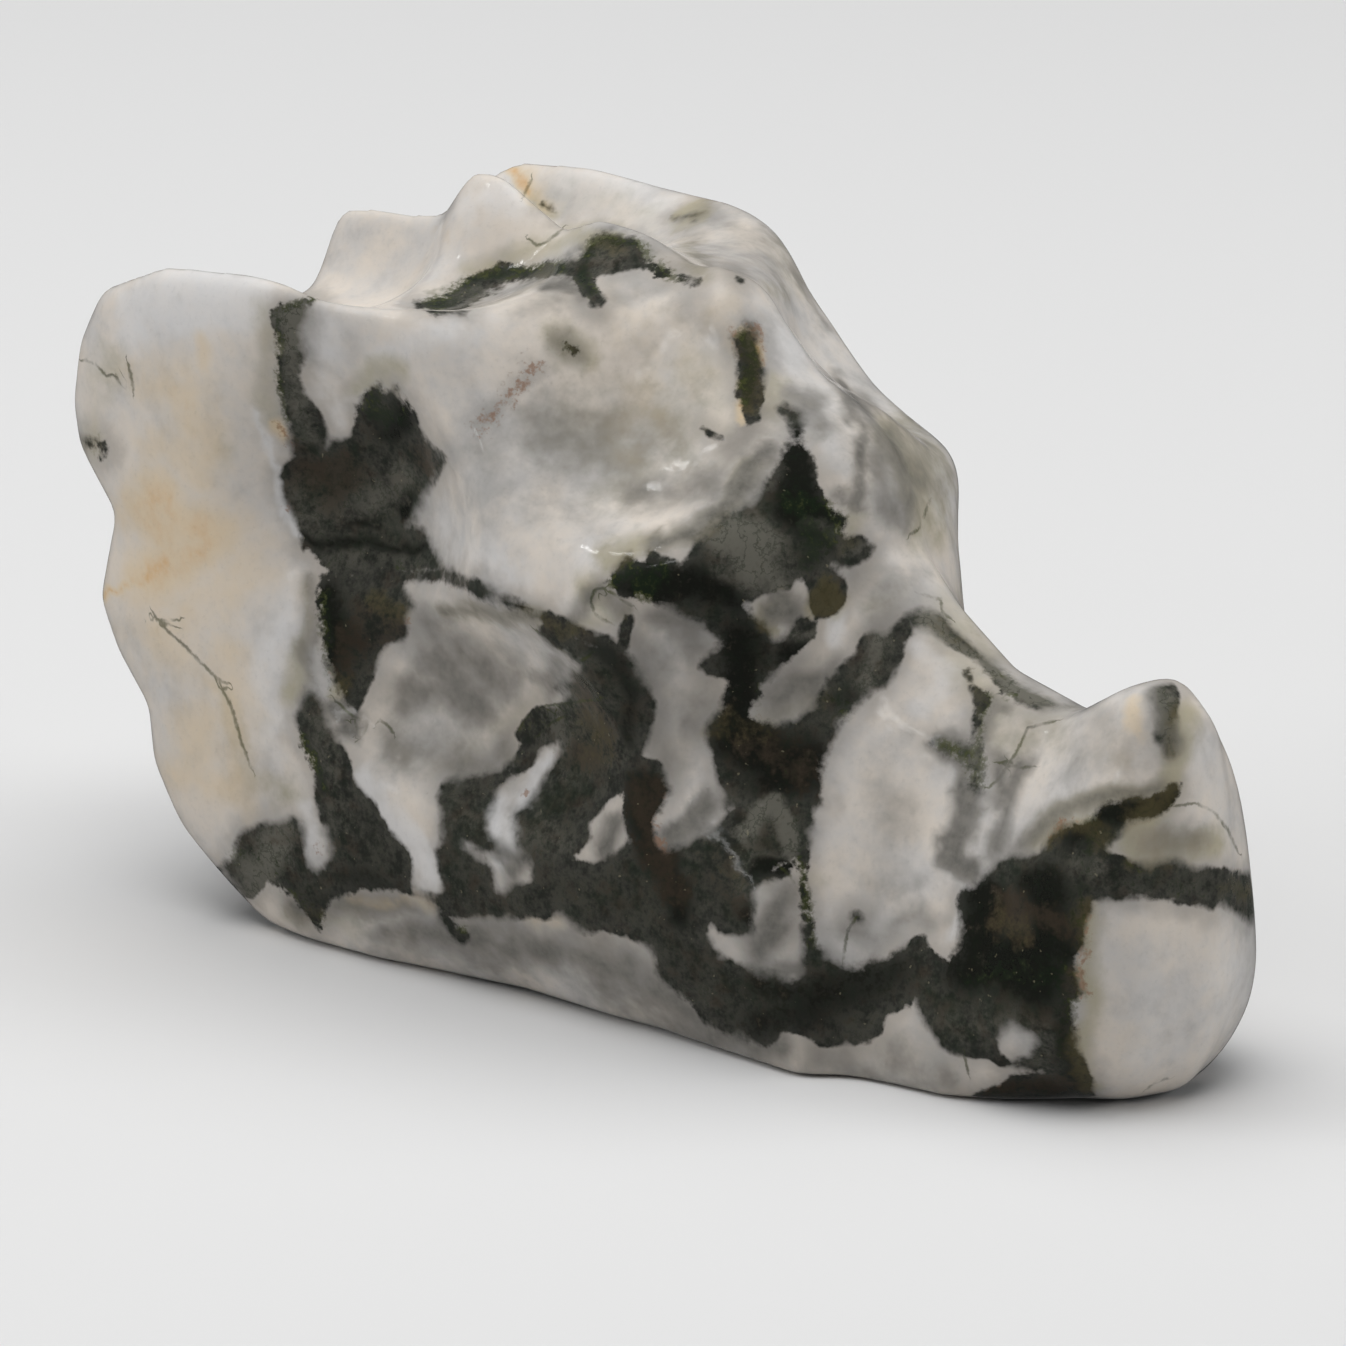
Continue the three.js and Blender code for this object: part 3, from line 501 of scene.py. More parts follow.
GREEN_WASHES = {
    "strip's edge": (1.0, 9, [(325, 296, 2), (300, 301, 3), (275, 312, 3), (279, 380, 3),
        (287, 415, 3)]),
    "ledge": (0.5, 12, [(325, 563, 8), (380, 565, 8), (420, 562, 6)]),
    "cheek's back": (0.8, 14, [(325, 600, 6), (330, 640, 8), (340, 690, 5)]),
    "strip": (0.5, 10, [(300, 420, 8), (302, 440, 8)]),
    "flame": (0.9, 12, [(372, 395, 5), (372, 415, 8), (395, 410, 5)]),
    "hollow's rim": (0.5, 10, [(310, 525, 4), (340, 545, 8), (390, 560, 8), (420, 560, 8)]),
    "band": (1.0, 6, [(300, 735, 4), (306, 752, 4), (318, 770, 4), (322, 790, 3)]),
    "under the frill": (0.6, 10, [(235, 855, 6), (250, 845, 6), (300, 890, 6), (320, 930, 6)]),
    "clump": (1.0, 8, [(612, 580, 6), (628, 565, 4), (650, 585, 8), (660, 570, 8)]),
    "eye": (0.9, 12, [(780, 500, 8), (825, 505, 8), (838, 520, 6), (815, 560, 8), (795, 495, 8)]),
    "column": (0.5, 12, [(800, 815, 8), (745, 640, 6)]),
    "jaw's filament": (1.0, 8, [(803, 850, 2), (808, 950, 3)]),
    "jaw": (0.35, 18, [(700, 990, 12), (860, 1010, 12), (940, 960, 12), (940, 1000, 8),
        (740, 1010, 10)]),
    "snout's root": (0.8, 10, [(830, 690, 6), (838, 705, 6)]),
    "snout's line": (0.6, 8, [(1000, 697, 5), (1020, 698, 5), (975, 665, 4)]),
    "nose": (0.7, 12, [(975, 975, 8), (1055, 970, 10), (1060, 1000, 6), (1065, 1050, 6),
        (1090, 825, 6)]),
    "nose's band": (0.6, 10, [(1240, 890, 8), (1120, 880, 6)]),
    "tufts": (0.8, 8, [(981, 700, 5), (978, 735, 3), (977, 780, 4), (940, 742, 6)]),
    "crest's foot": (1.0, 10, [(430, 305, 4), (470, 280, 4), (500, 268, 4), (530, 272, 4),
        (560, 266, 4)]),
    "crest's knob": (1.0, 10, [(590, 290, 6), (585, 265, 4), (600, 245, 4), (640, 246, 4),
        (680, 280, 3)]),
    "temple smudge": (0.7, 14, [(560, 346, 4), (572, 352, 5)]),
    "frill's back": (0.6, 14, [(92, 442, 6), (132, 385, 4), (105, 372, 4)]),
    "jaw's leaf": (1.0, 5, [(462, 935, 5)]),
    "far brow": (0.75, 16, [(895, 430, 10), (910, 465, 12), (925, 490, 10)]),
    "spike": (1.0, 10, [(745, 345, 5), (748, 375, 8), (750, 400, 6)]),
    "tuft's side": (0.9, 8, [(945, 748, 6), (965, 756, 6)]),
}
BROWN_WASHES = {
    "hollow": (0.9, 14, [(290, 470, 6), (310, 480, 10), (345, 470, 10), (330, 500, 12)]),
    "hollow's side": (0.7, 10, [(420, 450, 8), (430, 465, 8)]),
    "hollow's corner": (1.0, 6, [(286, 497, 4), (295, 508, 3)]),
    "strip's stain": (1.0, 10, [(275, 420, 4), (281, 435, 5), (285, 450, 4)]),
    "cheek's back": (0.8, 8, [(352, 640, 8), (350, 670, 6), (370, 615, 6), (395, 620, 10),
        (340, 665, 4)]),
    "cheek's front": (0.8, 12, [(585, 690, 8), (600, 720, 12), (600, 745, 12), (560, 760, 8)]),
    "brown stripe": (1.0, 12, [(645, 780, 14), (640, 815, 10), (672, 890, 8)]),
    "column": (0.6, 20, [(745, 735, 16), (780, 750, 20), (800, 770, 14), (780, 735, 10)]),
    "nose": (1.0, 12, [(1000, 925, 12), (1020, 940, 10), (1010, 905, 10), (1060, 915, 8),
        (1075, 930, 8)]),
    "nose's edge": (1.0, 7, [(1088, 905, 5), (1078, 935, 5), (1070, 965, 5), (1076, 990, 5)]),
    "nose's arm": (0.9, 7, [(1050, 840, 5), (1060, 828, 5), (1075, 825, 4)]),
    "foot": (1.0, 8, [(990, 1094, 4), (1040, 1086, 8), (1070, 1080, 8)]),
    "spike": (1.0, 6, [(757, 335, 5), (762, 350, 3), (748, 412, 5), (752, 402, 5), (737, 336, 4)]),
    "spots in the band": (0.7, 5, [(345, 845, 4), (276, 848, 4), (348, 855, 3)]),
    "temple stain": (0.95, 18, [(482, 422, 8), (512, 392, 10), (525, 375, 10), (540, 368, 5)]),
    "red speck": (1.0, 3, [(527, 791, 4), (531, 786, 3)]),
    "jaw's smoke": (0.4, 10, [(700, 870, 8), (725, 895, 5), (742, 900, 8)]),
}
ORANGE_WASHES = {
    "frill's vein": (1.0, 7, [(103, 598, 3), (125, 594, 2), (145, 583, 3), (158, 570, 4),
        (168, 555, 4)]),
    "frill's glow": (0.85, 44, [(150, 500, 12), (175, 520, 16), (215, 530, 16), (180, 560, 16),
        (140, 580, 8)]),
    "frill's lower glow": (0.5, 40, [(250, 560, 16), (230, 590, 24), (150, 630, 12), (210, 690, 8)]),
    "strip's stain": (0.8, 9, [(276, 425, 4), (282, 440, 5)]),
    "frill's spot": (0.6, 10, [(198, 340, 3), (200, 358, 5), (202, 372, 3)]),
    "far frill": (1.0, 9, [(505, 172, 3), (528, 193, 5), (534, 199, 4)]),
    "far frill's glow": (0.6, 18, [(530, 185, 10), (545, 200, 8)]),
    "spike": (0.35, 24, [(740, 300, 8), (715, 320, 14), (735, 350, 8)]),
    "crest": (0.4, 8, [(440, 230, 4), (442, 240, 3)]),
    "nose's top": (0.55, 9, [(1138, 702, 5), (1135, 733, 5)]),
    "nose": (0.2, 26, [(1110, 740, 12), (1150, 845, 16), (1200, 840, 16)]),
    "below the spike": (0.9, 9, [(752, 345, 5), (748, 418, 5)]),
    "jaw": (0.4, 10, [(410, 897, 4), (430, 905, 4), (350, 900, 4), (560, 918, 5)]),
    "frill's warmth": (0.52, 34, [(150, 380, 16), (190, 400, 24), (200, 460, 20), (160, 450, 14)]),
    "frill's lower warmth": (0.55, 34, [(200, 730, 20), (180, 770, 14), (240, 790, 10), (230, 660, 14)]),
    "temple's warmth": (0.3, 50, [(620, 330, 24), (680, 350, 20), (640, 400, 20)]),
}
OLIVE_WASHES = {
    "frill's back": (0.6, 20, [(95, 400, 8), (100, 350, 8), (115, 370, 8), (88, 440, 6)]),
    "frill's front": (0.7, 18, [(262, 310, 4), (260, 390, 6), (268, 420, 5)]),
    "frill's patch": (0.5, 14, [(225, 452, 12), (222, 468, 8)]),
    "frill's foot": (0.6, 14, [(225, 700, 6), (255, 780, 8), (280, 790, 14)]),
    "cheek's edge": (0.8, 8, [(305, 590, 4), (310, 620, 4), (305, 660, 6), (295, 700, 6)]),
    "smoke over the flame": (0.9, 14, [(352, 390, 4), (365, 375, 6), (385, 372, 6), (400, 378, 3)]),
    "crest": (0.8, 12, [(470, 268, 5), (560, 245, 8), (580, 232, 6), (618, 248, 12)]),
    "far frill": (0.5, 20, [(560, 190, 10), (650, 215, 8)]),
    "far smudge": (0.8, 10, [(690, 250, 9), (700, 262, 8), (705, 272, 6)]),
    "far edge": (0.6, 12, [(775, 240, 5), (795, 290, 4), (770, 285, 4)]),
    "temple smudge": (0.9, 14, [(545, 338, 6), (565, 348, 8), (582, 350, 6)]),
    "temple's edge": (1.1, 14, [(600, 560, 4), (690, 530, 4), (730, 500, 4), (755, 470, 6)]),
    "left of the clump": (1.0, 20, [(580, 590, 6), (598, 608, 8)]),
    "beside the spike": (0.8, 14, [(765, 400, 8), (775, 380, 6), (770, 420, 6)]),
    "far brow": (1.1, 24, [(895, 430, 12), (915, 460, 14), (925, 500, 14), (925, 530, 10)]),
    "bridge": (0.6, 24, [(960, 610, 8), (1000, 650, 8), (940, 600, 8), (1000, 740, 14),
        (1040, 740, 12)]),
    "snout": (0.5, 16, [(870, 610, 6), (900, 600, 6)]),
    "disc": (1.3, 8, [(826, 598, 16)]),
    "olive by the column": (1.0, 6, [(755, 622, 6), (765, 630, 5)]),
    "middle": (0.6, 12, [(735, 712, 4), (705, 735, 6), (780, 715, 6), (820, 690, 4)]),
    "nose": (1.1, 16, [(1190, 715, 8), (1130, 850, 10), (1210, 840, 12)]),
    "nose's edge": (1.0, 13, [(1088, 905, 5), (1080, 940, 5), (1078, 970, 5), (1086, 1000, 5),
        (1080, 1040, 6), (1092, 1085, 6)]),
    "jaw's foot": (0.7, 12, [(290, 915, 6), (330, 920, 6), (350, 935, 6), (345, 905, 5)]),
    "cheek": (0.5, 14, [(390, 740, 8), (440, 765, 8), (535, 700, 6), (505, 750, 6)]),
    "jaw": (0.4, 14, [(690, 845, 6), (790, 900, 6), (815, 880, 4)]),
    "below the eye": (0.7, 10, [(850, 510, 6), (845, 545, 6)]),
    "far frill's moss": (1.0, 10, [(538, 202, 5), (552, 208, 6)]),
    "far frill's streak": (1.0, 10, [(680, 218, 5), (704, 211, 5)]),
    "eye's patch": (1.0, 14, [(755, 615, 6), (780, 600, 8)]),
    "nose's arm": (0.9, 12, [(1046, 842, 5), (1062, 828, 5), (1085, 832, 8), (1108, 848, 8)]),
    "nose's mass": (0.6, 14, [(1000, 925, 12), (1020, 940, 10)]),
    "cheek's back": (0.8, 10, [(378, 606, 8), (396, 612, 5)]),
    "cheek's front": (0.6, 16, [(590, 720, 14), (600, 745, 12)]),
    "nose's band": (0.6, 10, [(1235, 890, 6), (1255, 892, 6)]),
    "cheek's back lower": (0.9, 8, [(350, 674, 5), (342, 692, 4)]),
    "temple's front": (0.5, 40, [(620, 480, 20), (680, 450, 20), (700, 410, 16)]),
    "nose's arm above": (1.1, 12, [(1035, 838, 4), (1060, 812, 6), (1100, 798, 6), (1150, 785, 5)]),
    "spike": (0.9, 7, [(748, 345, 5), (750, 375, 6), (750, 412, 5)]),
    "temple": (0.6, 50, [(590, 430, 30), (660, 440, 26), (690, 370, 20)]),
    "rim above": (0.8, 12, [(455, 603, 4), (560, 628, 5), (632, 612, 6)]),
}
# Bright washes: bright white stone, and painted light. The frill's ridge is a painted highlight along its
# crease. The tops of the frill and the mane, and the nose's right and low parts, are lightened as painted
# light.
BRIGHT_AND_HIGHLIGHT_WASHES = {
    "frill's ridge": (1.2, 6, [(248, 405, 1), (282, 490, 2), (300, 540, 2)]),
    "frill's streak": (0.8, 22, [(290, 600, 4), (262, 690, 8), (262, 740, 6)]),
    "below the streak": (0.8, 10, [(305, 800, 4), (316, 860, 4)]),
    "beside the strip": (0.7, 16, [(330, 330, 8), (325, 370, 8), (335, 415, 6), (400, 340, 10),
        (450, 330, 8)]),
    "cheek's streak": (1.0, 12, [(365, 770, 4), (425, 860, 8), (430, 885, 5)]),
    "streak under the cheek": (1.0, 12, [(500, 800, 6), (500, 870, 4), (545, 760, 4)]),
    "middle": (0.4, 14, [(690, 790, 10), (700, 780, 8)]),
    "right of the column": (1.0, 10, [(834, 616, 6), (827, 638, 5)]),
    "above the snout": (0.5, 12, [(890, 560, 6), (890, 545, 6)]),
    "below the spike": (0.7, 12, [(780, 330, 8), (795, 360, 8)]),
    "brow": (0.9, 10, [(830, 445, 6), (845, 468, 6)]),
    "snout": (0.8, 14, [(920, 645, 6), (955, 660, 6), (925, 700, 10)]),
    "snout's tongue": (0.7, 8, [(965, 885, 5), (945, 935, 5)]),
    "far frill": (0.5, 14, [(720, 240, 12), (760, 270, 8)]),
    "temple's front": (0.6, 20, [(480, 480, 14), (460, 540, 12), (520, 570, 10)]),
    "cheekbone": (0.6, 14, [(590, 545, 8), (560, 600, 6), (630, 620, 5)]),
    "frill's top": (1.3, 34, [(180, 295, 20), (240, 300, 14), (140, 310, 14)]),
    "mane": (0.8, 30, [(480, 200, 16), (600, 185, 16), (650, 200, 10)]),
    "nose's right": (0.6, 40, [(1230, 980, 20), (1225, 1020, 16)]),
    "nose low": (0.45, 40, [(1150, 1050, 16), (1180, 1060, 10)]),
}
# Grey washes: smoky stone, and painted shade. The foot, the back foot, the jaw's foot, the cheek and the
# temple are darkened where less light reaches them.
SMOKE_AND_SHADE_WASHES = {
    "frill's edge": (0.8, 8, [(310, 590, 6), (316, 630, 5), (312, 670, 6), (306, 580, 4)]),
    "foot": (1.15, 28, [(385, 935, 8), (575, 952, 14), (640, 985, 12), (700, 1022, 12), (780, 1052, 8)]),
    "cheek's lower half": (0.95, 32, [(390, 740, 14), (480, 765, 14), (500, 745, 10)]),
    "middle strip": (0.85, 32, [(640, 640, 12), (660, 700, 14), (670, 760, 12), (690, 700, 12)]),
    "above the snout": (0.8, 30, [(860, 585, 8), (900, 590, 10), (880, 640, 14)]),
    "snout low": (0.6, 36, [(890, 800, 18), (880, 880, 18), (860, 930, 10)]),
    "back foot": (1.1, 22, [(300, 908, 8), (385, 905, 10), (415, 915, 6)]),
    "cheek": (1.05, 34, [(440, 660, 22), (470, 700, 20), (430, 620, 12), (500, 680, 12),
        (410, 700, 14)]),
    "temple": (0.8, 50, [(600, 440, 30), (560, 450, 24), (540, 420, 16), (650, 430, 16)]),
    "temple smudge": (0.8, 12, [(548, 342, 5), (565, 348, 7), (575, 352, 5)]),
    "near the crest": (0.6, 20, [(520, 320, 10), (545, 305, 10), (600, 320, 12)]),
    "beside the crest": (0.6, 14, [(640, 280, 8), (620, 290, 8), (670, 285, 6)]),
    "brow": (1.15, 12, [(850, 420, 6), (840, 380, 5), (862, 430, 5), (860, 470, 4), (852, 500, 6)]),
    "temple's left": (0.6, 34, [(480, 500, 16), (500, 460, 16), (470, 440, 12), (515, 420, 12)]),
    "far mane": (0.6, 24, [(740, 235, 16), (770, 260, 12), (720, 215, 8)]),
    "spike": (0.65, 24, [(690, 310, 12), (710, 330, 8)]),
    "brow's middle": (0.55, 20, [(840, 460, 12), (830, 430, 8)]),
    "far brow": (1.0, 34, [(895, 440, 12), (905, 470, 14), (905, 510, 12), (920, 490, 10),
        (885, 455, 6)]),
    "far frill": (0.7, 20, [(690, 252, 10), (700, 265, 10), (660, 255, 8), (740, 270, 8)]),
    "far frill's edge": (0.7, 8, [(760, 225, 3), (785, 255, 3), (805, 295, 4), (820, 330, 4)]),
    "snout's top": (0.5, 16, [(1040, 690, 5), (980, 640, 5)]),
    "snout's tuft": (0.9, 14, [(955, 745, 10), (965, 765, 8), (985, 705, 8), (1000, 710, 6)]),
    "jaw": (1.25, 22, [(760, 945, 10), (770, 920, 10), (785, 895, 8)]),
    "behind the tongue": (0.6, 12, [(925, 880, 6), (915, 890, 6)]),
    "nose's top": (0.65, 30, [(1110, 740, 20), (1080, 760, 16)]),
    "nose's smudge": (1.0, 12, [(1165, 700, 10), (1168, 740, 10)]),
    "jaw's foot": (0.85, 30, [(900, 1060, 16), (940, 1080, 10), (860, 1070, 10), (820, 1060, 8)]),
    "crest": (0.2, 20, [(380, 240, 12), (400, 265, 12)]),
    "under the column": (0.5, 12, [(740, 830, 8), (730, 870, 8), (760, 820, 6)]),
    "disc": (0.8, 10, [(735, 910, 14)]),
    "tongue": (1.1, 24, [(800, 680, 12), (775, 700, 12), (828, 668, 8)]),
    "below the eye's smoke": (1.2, 16, [(775, 590, 12), (795, 605, 8), (765, 610, 8)]),
    "outside the rim": (1.0, 18, [(690, 650, 12), (680, 625, 10), (660, 615, 8)]),
    "patch under the cheek": (1.25, 12, [(612, 815, 6), (600, 850, 6)]),
    "snout side": (0.3, 40, [(880, 760, 18), (930, 700, 14)]),
    "bridge": (0.5, 30, [(1020, 740, 20), (1050, 735, 14), (1000, 720, 10)]),
    "temple's top": (0.35, 30, [(640, 360, 16), (600, 340, 12)]),
    "strip on the snout": (1.3, 10, [(966, 775, 5), (969, 800, 8), (966, 830, 11), (958, 862, 12),
        (978, 868, 8)]),
    "tuft's side": (1.2, 10, [(938, 744, 6), (955, 752, 10), (968, 765, 8)]),
    "below the eye's right": (0.9, 8, [(838, 488, 6), (843, 500, 6)]),
    "temple's front": (0.95, 26, [(640, 490, 10), (680, 490, 12), (715, 480, 14), (745, 450, 12),
        (762, 420, 8)]),
    "temple's lower edge": (1.3, 16, [(650, 545, 4), (690, 528, 5), (748, 485, 8), (768, 450, 4)]),
    "brow's foot": (0.9, 14, [(790, 395, 8), (812, 408, 8), (818, 430, 6)]),
    "brow's side": (0.95, 18, [(858, 400, 12), (880, 430, 10), (880, 510, 10), (900, 520, 10)]),
    "temple stain": (0.75, 14, [(480, 425, 8), (525, 375, 10), (545, 366, 6)]),
    "column's left": (1.2, 12, [(705, 800, 8), (690, 826, 10), (668, 838, 8)]),
    "streak's foot": (1.1, 12, [(502, 850, 8), (522, 862, 8), (512, 874, 8)]),
    "cheek's corner": (1.3, 12, [(345, 708, 8), (355, 722, 8), (352, 735, 4)]),
    "frill's foot": (0.5, 24, [(245, 780, 12), (265, 800, 12), (240, 740, 8)]),
    "nose's arm": (1.0, 12, [(1020, 848, 4), (1035, 832, 5), (1060, 812, 6), (1100, 798, 6),
        (1150, 785, 5)]),
    "nose's right of the arm": (0.85, 16, [(1150, 845, 12), (1190, 835, 14)]),
    "bridge's tuft": (1.2, 14, [(995, 760, 8), (998, 795, 6), (1015, 762, 6), (1000, 850, 4)]),
    "above the jaw": (0.8, 20, [(840, 930, 10), (870, 940, 10), (925, 920, 6)]),
    "rim above": (0.95, 14, [(455, 603, 4), (560, 628, 5), (600, 590, 6), (632, 612, 8)]),
    "cheek's inside": (0.95, 14, [(530, 682, 6), (560, 676, 8), (552, 690, 6)]),
    "jaw's patch foot": (1.0, 10, [(775, 965, 8), (795, 968, 5)]),
    "crest's moss below": (1.1, 12, [(545, 288, 6), (568, 290, 8), (580, 300, 6)]),
    "temple's bottom": (0.55, 34, [(540, 490, 16), (570, 520, 16), (600, 535, 10)]),
}

# Each field of washes: its strokes in the photograph, and for the sides that the photograph doesn't show,
# its seed, its strength and the levels of noise at which it starts and is full.
WASHES = {
    "black": (BLACK_WASHES, 51, 1.0, -0.1, 0.6),
    "clear": (CLEAR_WASHES, 61, 0.9, 0.0, 0.8),
    "green": (GREEN_WASHES, 71, 1.0, 0.0, 0.9),
    "brown": (BROWN_WASHES, 81, 0.75, 0.3, 1.0),
    "orange": (ORANGE_WASHES, 91, 0.6, 0.5, 1.1),
    "olive": (OLIVE_WASHES, 101, 0.6, 0.1, 0.9),
    # Bright white stone, and painted highlights and painted light.
    "bright_and_highlight": (BRIGHT_AND_HIGHLIGHT_WASHES, 111, 0.8, 0.2, 0.9),
    # Smoky stone and painted shade.
    "smoke_and_shade": (SMOKE_AND_SHADE_WASHES, 121, 0.6, 0.1, 0.9),
}


def join(a, b, rounding):
    overlap = np.maximum(rounding - np.abs(a - b), 0.0) / rounding
    return np.minimum(a, b) - overlap * overlap * rounding / 4.0


def overlap_of(a, b, rounding):
    return -join(-a, -b, rounding)


def cut(solid, tool, rounding):
    return overlap_of(solid, -tool, rounding)


def outline_distance(u, v, outline):
    """The distance to a closed outline, below zero inside it."""
    nearest = np.full(np.shape(u), np.inf)
    inside = np.zeros(np.shape(u), dtype=bool)
    for (start_u, start_v), (end_u, end_v) in zip(outline, outline[1:] + outline[:1]):
        edge_u, edge_v = end_u - start_u, end_v - start_v
        to_u, to_v = u - start_u, v - start_v
        along = np.clip((to_u * edge_u + to_v * edge_v) / (edge_u ** 2 + edge_v ** 2), 0.0, 1.0)
        nearest = np.minimum(nearest, (to_u - along * edge_u) ** 2 + (to_v - along * edge_v) ** 2)
        if edge_v != 0.0:
            inside ^= ((end_v > v) != (start_v > v)) & (to_u < edge_u * to_v / edge_v)
    return np.sqrt(nearest) * np.where(inside, -1.0, 1.0)


class Sheet:
    """An outline's distance on a fine grid, eased so that its corners are round."""

    def __init__(self, outline):
        self.low = np.min(outline, axis=0) - SHEET_MARGIN
        high = np.max(outline, axis=0) + SHEET_MARGIN
        places = [np.arange(first, last, SHEET_CELL) for first, last in zip(self.low, high)]
        self.table = outline_distance(*np.meshgrid(*places, indexing="ij"), outline)
        reach = math.ceil(EASING_REACH * CORNER_EASING / SHEET_CELL)
        weights = np.exp(-0.5 * (np.arange(-reach, reach + 1) * SHEET_CELL / CORNER_EASING) ** 2)
        weights /= weights.sum()
        for axis in range(2):
            borders = [(reach, reach) if other == axis else (0, 0) for other in range(2)]
            padded = np.pad(self.table, borders, mode="edge")
            self.table = np.apply_along_axis(np.convolve, axis, padded, weights, mode="valid")

    def distance(self, u, v):
        u = np.clip((u - self.low[0]) / SHEET_CELL, 0.0, self.table.shape[0] - SHEET_END)
        v = np.clip((v - self.low[1]) / SHEET_CELL, 0.0, self.table.shape[1] - SHEET_END)
        column, row = u.astype(int), v.astype(int)
        u, v = u - column, v - row
        near = self.table[column, row] * (1.0 - v) + self.table[column, row + 1] * v
        far = self.table[column + 1, row] * (1.0 - v) + self.table[column + 1, row + 1] * v
        return near * (1.0 - u) + far * u


CREST_SHEET = Sheet(CREST_OUTLINE)
SIDE_SHEET = Sheet(SIDE_OUTLINE)
PLAN_SHEET = Sheet(PLAN_OUTLINE)


def eased(x, profile):
    """A profile's value at x, with the corners between its straight parts eased."""
    return sum(np.interp(x + shift, *profile) for shift in PROFILE_SHIFTS) / len(PROFILE_SHIFTS)


def ellipsoid_distance(x, side, z, hollow):
    centre, radii, pitch, roll, _ = hollow
    u, v, w = x - centre[0], side - centre[1], z - centre[2]
    pitch, roll = math.radians(pitch), math.radians(roll)
    u, w = math.cos(pitch) * u - math.sin(pitch) * w, math.sin(pitch) * u + math.cos(pitch) * w
    v, w = math.cos(roll) * v + math.sin(roll) * w, -math.sin(roll) * v + math.cos(roll) * w
    size = np.sqrt((u / radii[0]) ** 2 + (v / radii[1]) ** 2 + (w / radii[2]) ** 2) + LEAST_SIZE
    slope = np.sqrt((u / radii[0] ** 2) ** 2 + (v / radii[1] ** 2) ** 2 + (w / radii[2] ** 2) ** 2)
    return size * (size - 1.0) / (slope + LEAST_SLOPE)


def bar_distance(x, side, z, bar):
    start, end, start_radius, end_radius, _ = bar
    run = [end[i] - start[i] for i in range(3)]
    to = [x - start[0], side - start[1], z - start[2]]
    reach = sum(step * step for step in run)
    along = np.clip(sum(to[i] * run[i] for i in range(3)) / reach, 0.0, 1.0)
    gap = np.sqrt(sum((to[i] - along * run[i]) ** 2 for i in range(3)))
    return gap - (start_radius + (end_radius - start_radius) * along)


def plane_height(x, side, z, plane):
    slopes, point = plane
    return slopes[0] * (x - point[0]) + slopes[1] * (side - point[1]) + slopes[2] * (z - point[2])


def roof_drop(x, side):
    """How far the top falls away from its line in the middle."""
    reach = eased(x, ROOF_REACH)
    return eased(x, ROOF_SLOPE) * reach * np.tanh(side / reach) + eased(x, ROOF_CURVE) * side * side


def block_distance(x, y, side, z):
    """The body with its two frills, the valleys above them and the hollow between them at the back."""
    block = overlap_of(SIDE_SHEET.distance(x, z), side - HALF_THICKNESS, FORM_ROUNDING)
    valley_height = z - np.interp(x, *VALLEY_AXIS_HEIGHT)
    valley = np.hypot(np.maximum(side - VALLEY_REACH, 0.0), valley_height) - VALLEY_RADIUS
    block = cut(block, valley, VALLEY_ROUNDING)
    block = cut(block, ellipsoid_distance(x, y, z, BACK_HOLLOW), BACK_HOLLOW[-1])
    left_back = plane_height(x, side, z, LEFT_FRILL_BACK) - np.maximum(LEFT_FRILL_BACK_START - y, 0.0)
    return overlap_of(block, left_back, LEFT_FRILL_BACK_ROUNDING)


def cut_temples(stone, x, y, side, z):
    """Cuts the sloping faces in front of the frills, and a bowl in each."""
    left_share = np.clip(0.5 + y / FRILL_END_MIX_WIDTH, 0.0, 1.0)
    face = plane_height(x, side, z, TEMPLE_FACE) + LEFT_FACE_INSET * left_share
    right_end = plane_height(x, side, z, RIGHT_FRILL_END)
    left_end = plane_height(x, side, z, LEFT_FRILL_END)
    end = right_end + (left_end - right_end) * left_share
    rounding = RIGHT_TEMPLE_ROUNDING + (LEFT_TEMPLE_ROUNDING - RIGHT_TEMPLE_ROUNDING) * left_share
    stone = cut(stone, overlap_of(-face, -end, rounding), FORM_ROUNDING)
    stone = cut(stone, ellipsoid_distance(x, -y, z, RIGHT_TEMPLE_BOWL), RIGHT_TEMPLE_BOWL[-1])
    return cut(stone, ellipsoid_distance(x, y, z, LEFT_TEMPLE_BOWL), LEFT_TEMPLE_BOWL[-1])


def stone_distance(points):
    """The stone's field at points in millimetres: below zero inside it."""
    x, y = points[:, 0] + MIDDLE_X, points[:, 1]
    z = points[:, 2] / (1.0 + LEFT_SIDE_RISE * y)
    side = np.hypot(y, MIDDLE_ROUNDING) - MIDDLE_INSET
    crest = CREST_SHEET.distance(x, z + roof_drop(x, side)) * ROOF_EASING
    crest = overlap_of(crest, plane_height(x, side, z, CREST_BACK), CREST_BACK_ROUNDING)
    ridge = overlap_of(crest, side - RIDGE_HALF_WIDTH, FORM_ROUNDING)
    stone = join(ridge, block_distance(x, y, side, z), FORM_ROUNDING)
    stone = cut_temples(stone, x, y, side, z)
    stone = join(stone, overlap_of(crest, side - CREST_HALF_WIDTH, CREST_ROUNDING), CREST_FILLET)
    stone = join(stone, bar_distance(x, side, z, CHEEKBONE), CHEEKBONE[-1])
    stone = join(stone, bar_distance(x, y, z, LEFT_TEMPLE_EDGE), LEFT_TEMPLE_EDGE[-1])
    foot = np.interp(x, *FOOT_DEPTH) * np.maximum(0.0, 1.0 - z / FOOT_HEIGHT) ** 2
    stone = overlap_of(stone, PLAN_SHEET.distance(x, side) + foot, EDGE_ROUNDING)
    for groove in FRILL_GROOVES:
        stone = cut(stone, bar_distance(x, side, z, groove), groove[-1])
    stone = cut(stone, ellipsoid_distance(x, -y, z, RIGHT_FRILL_HOLLOW), RIGHT_FRILL_HOLLOW[-1])
    for hollow in SIDE_HOLLOWS:
        stone = cut(stone, ellipsoid_distance(x, side, z, hollow), hollow[-1])
    return overlap_of(stone, -z, BASE_ROUNDING)


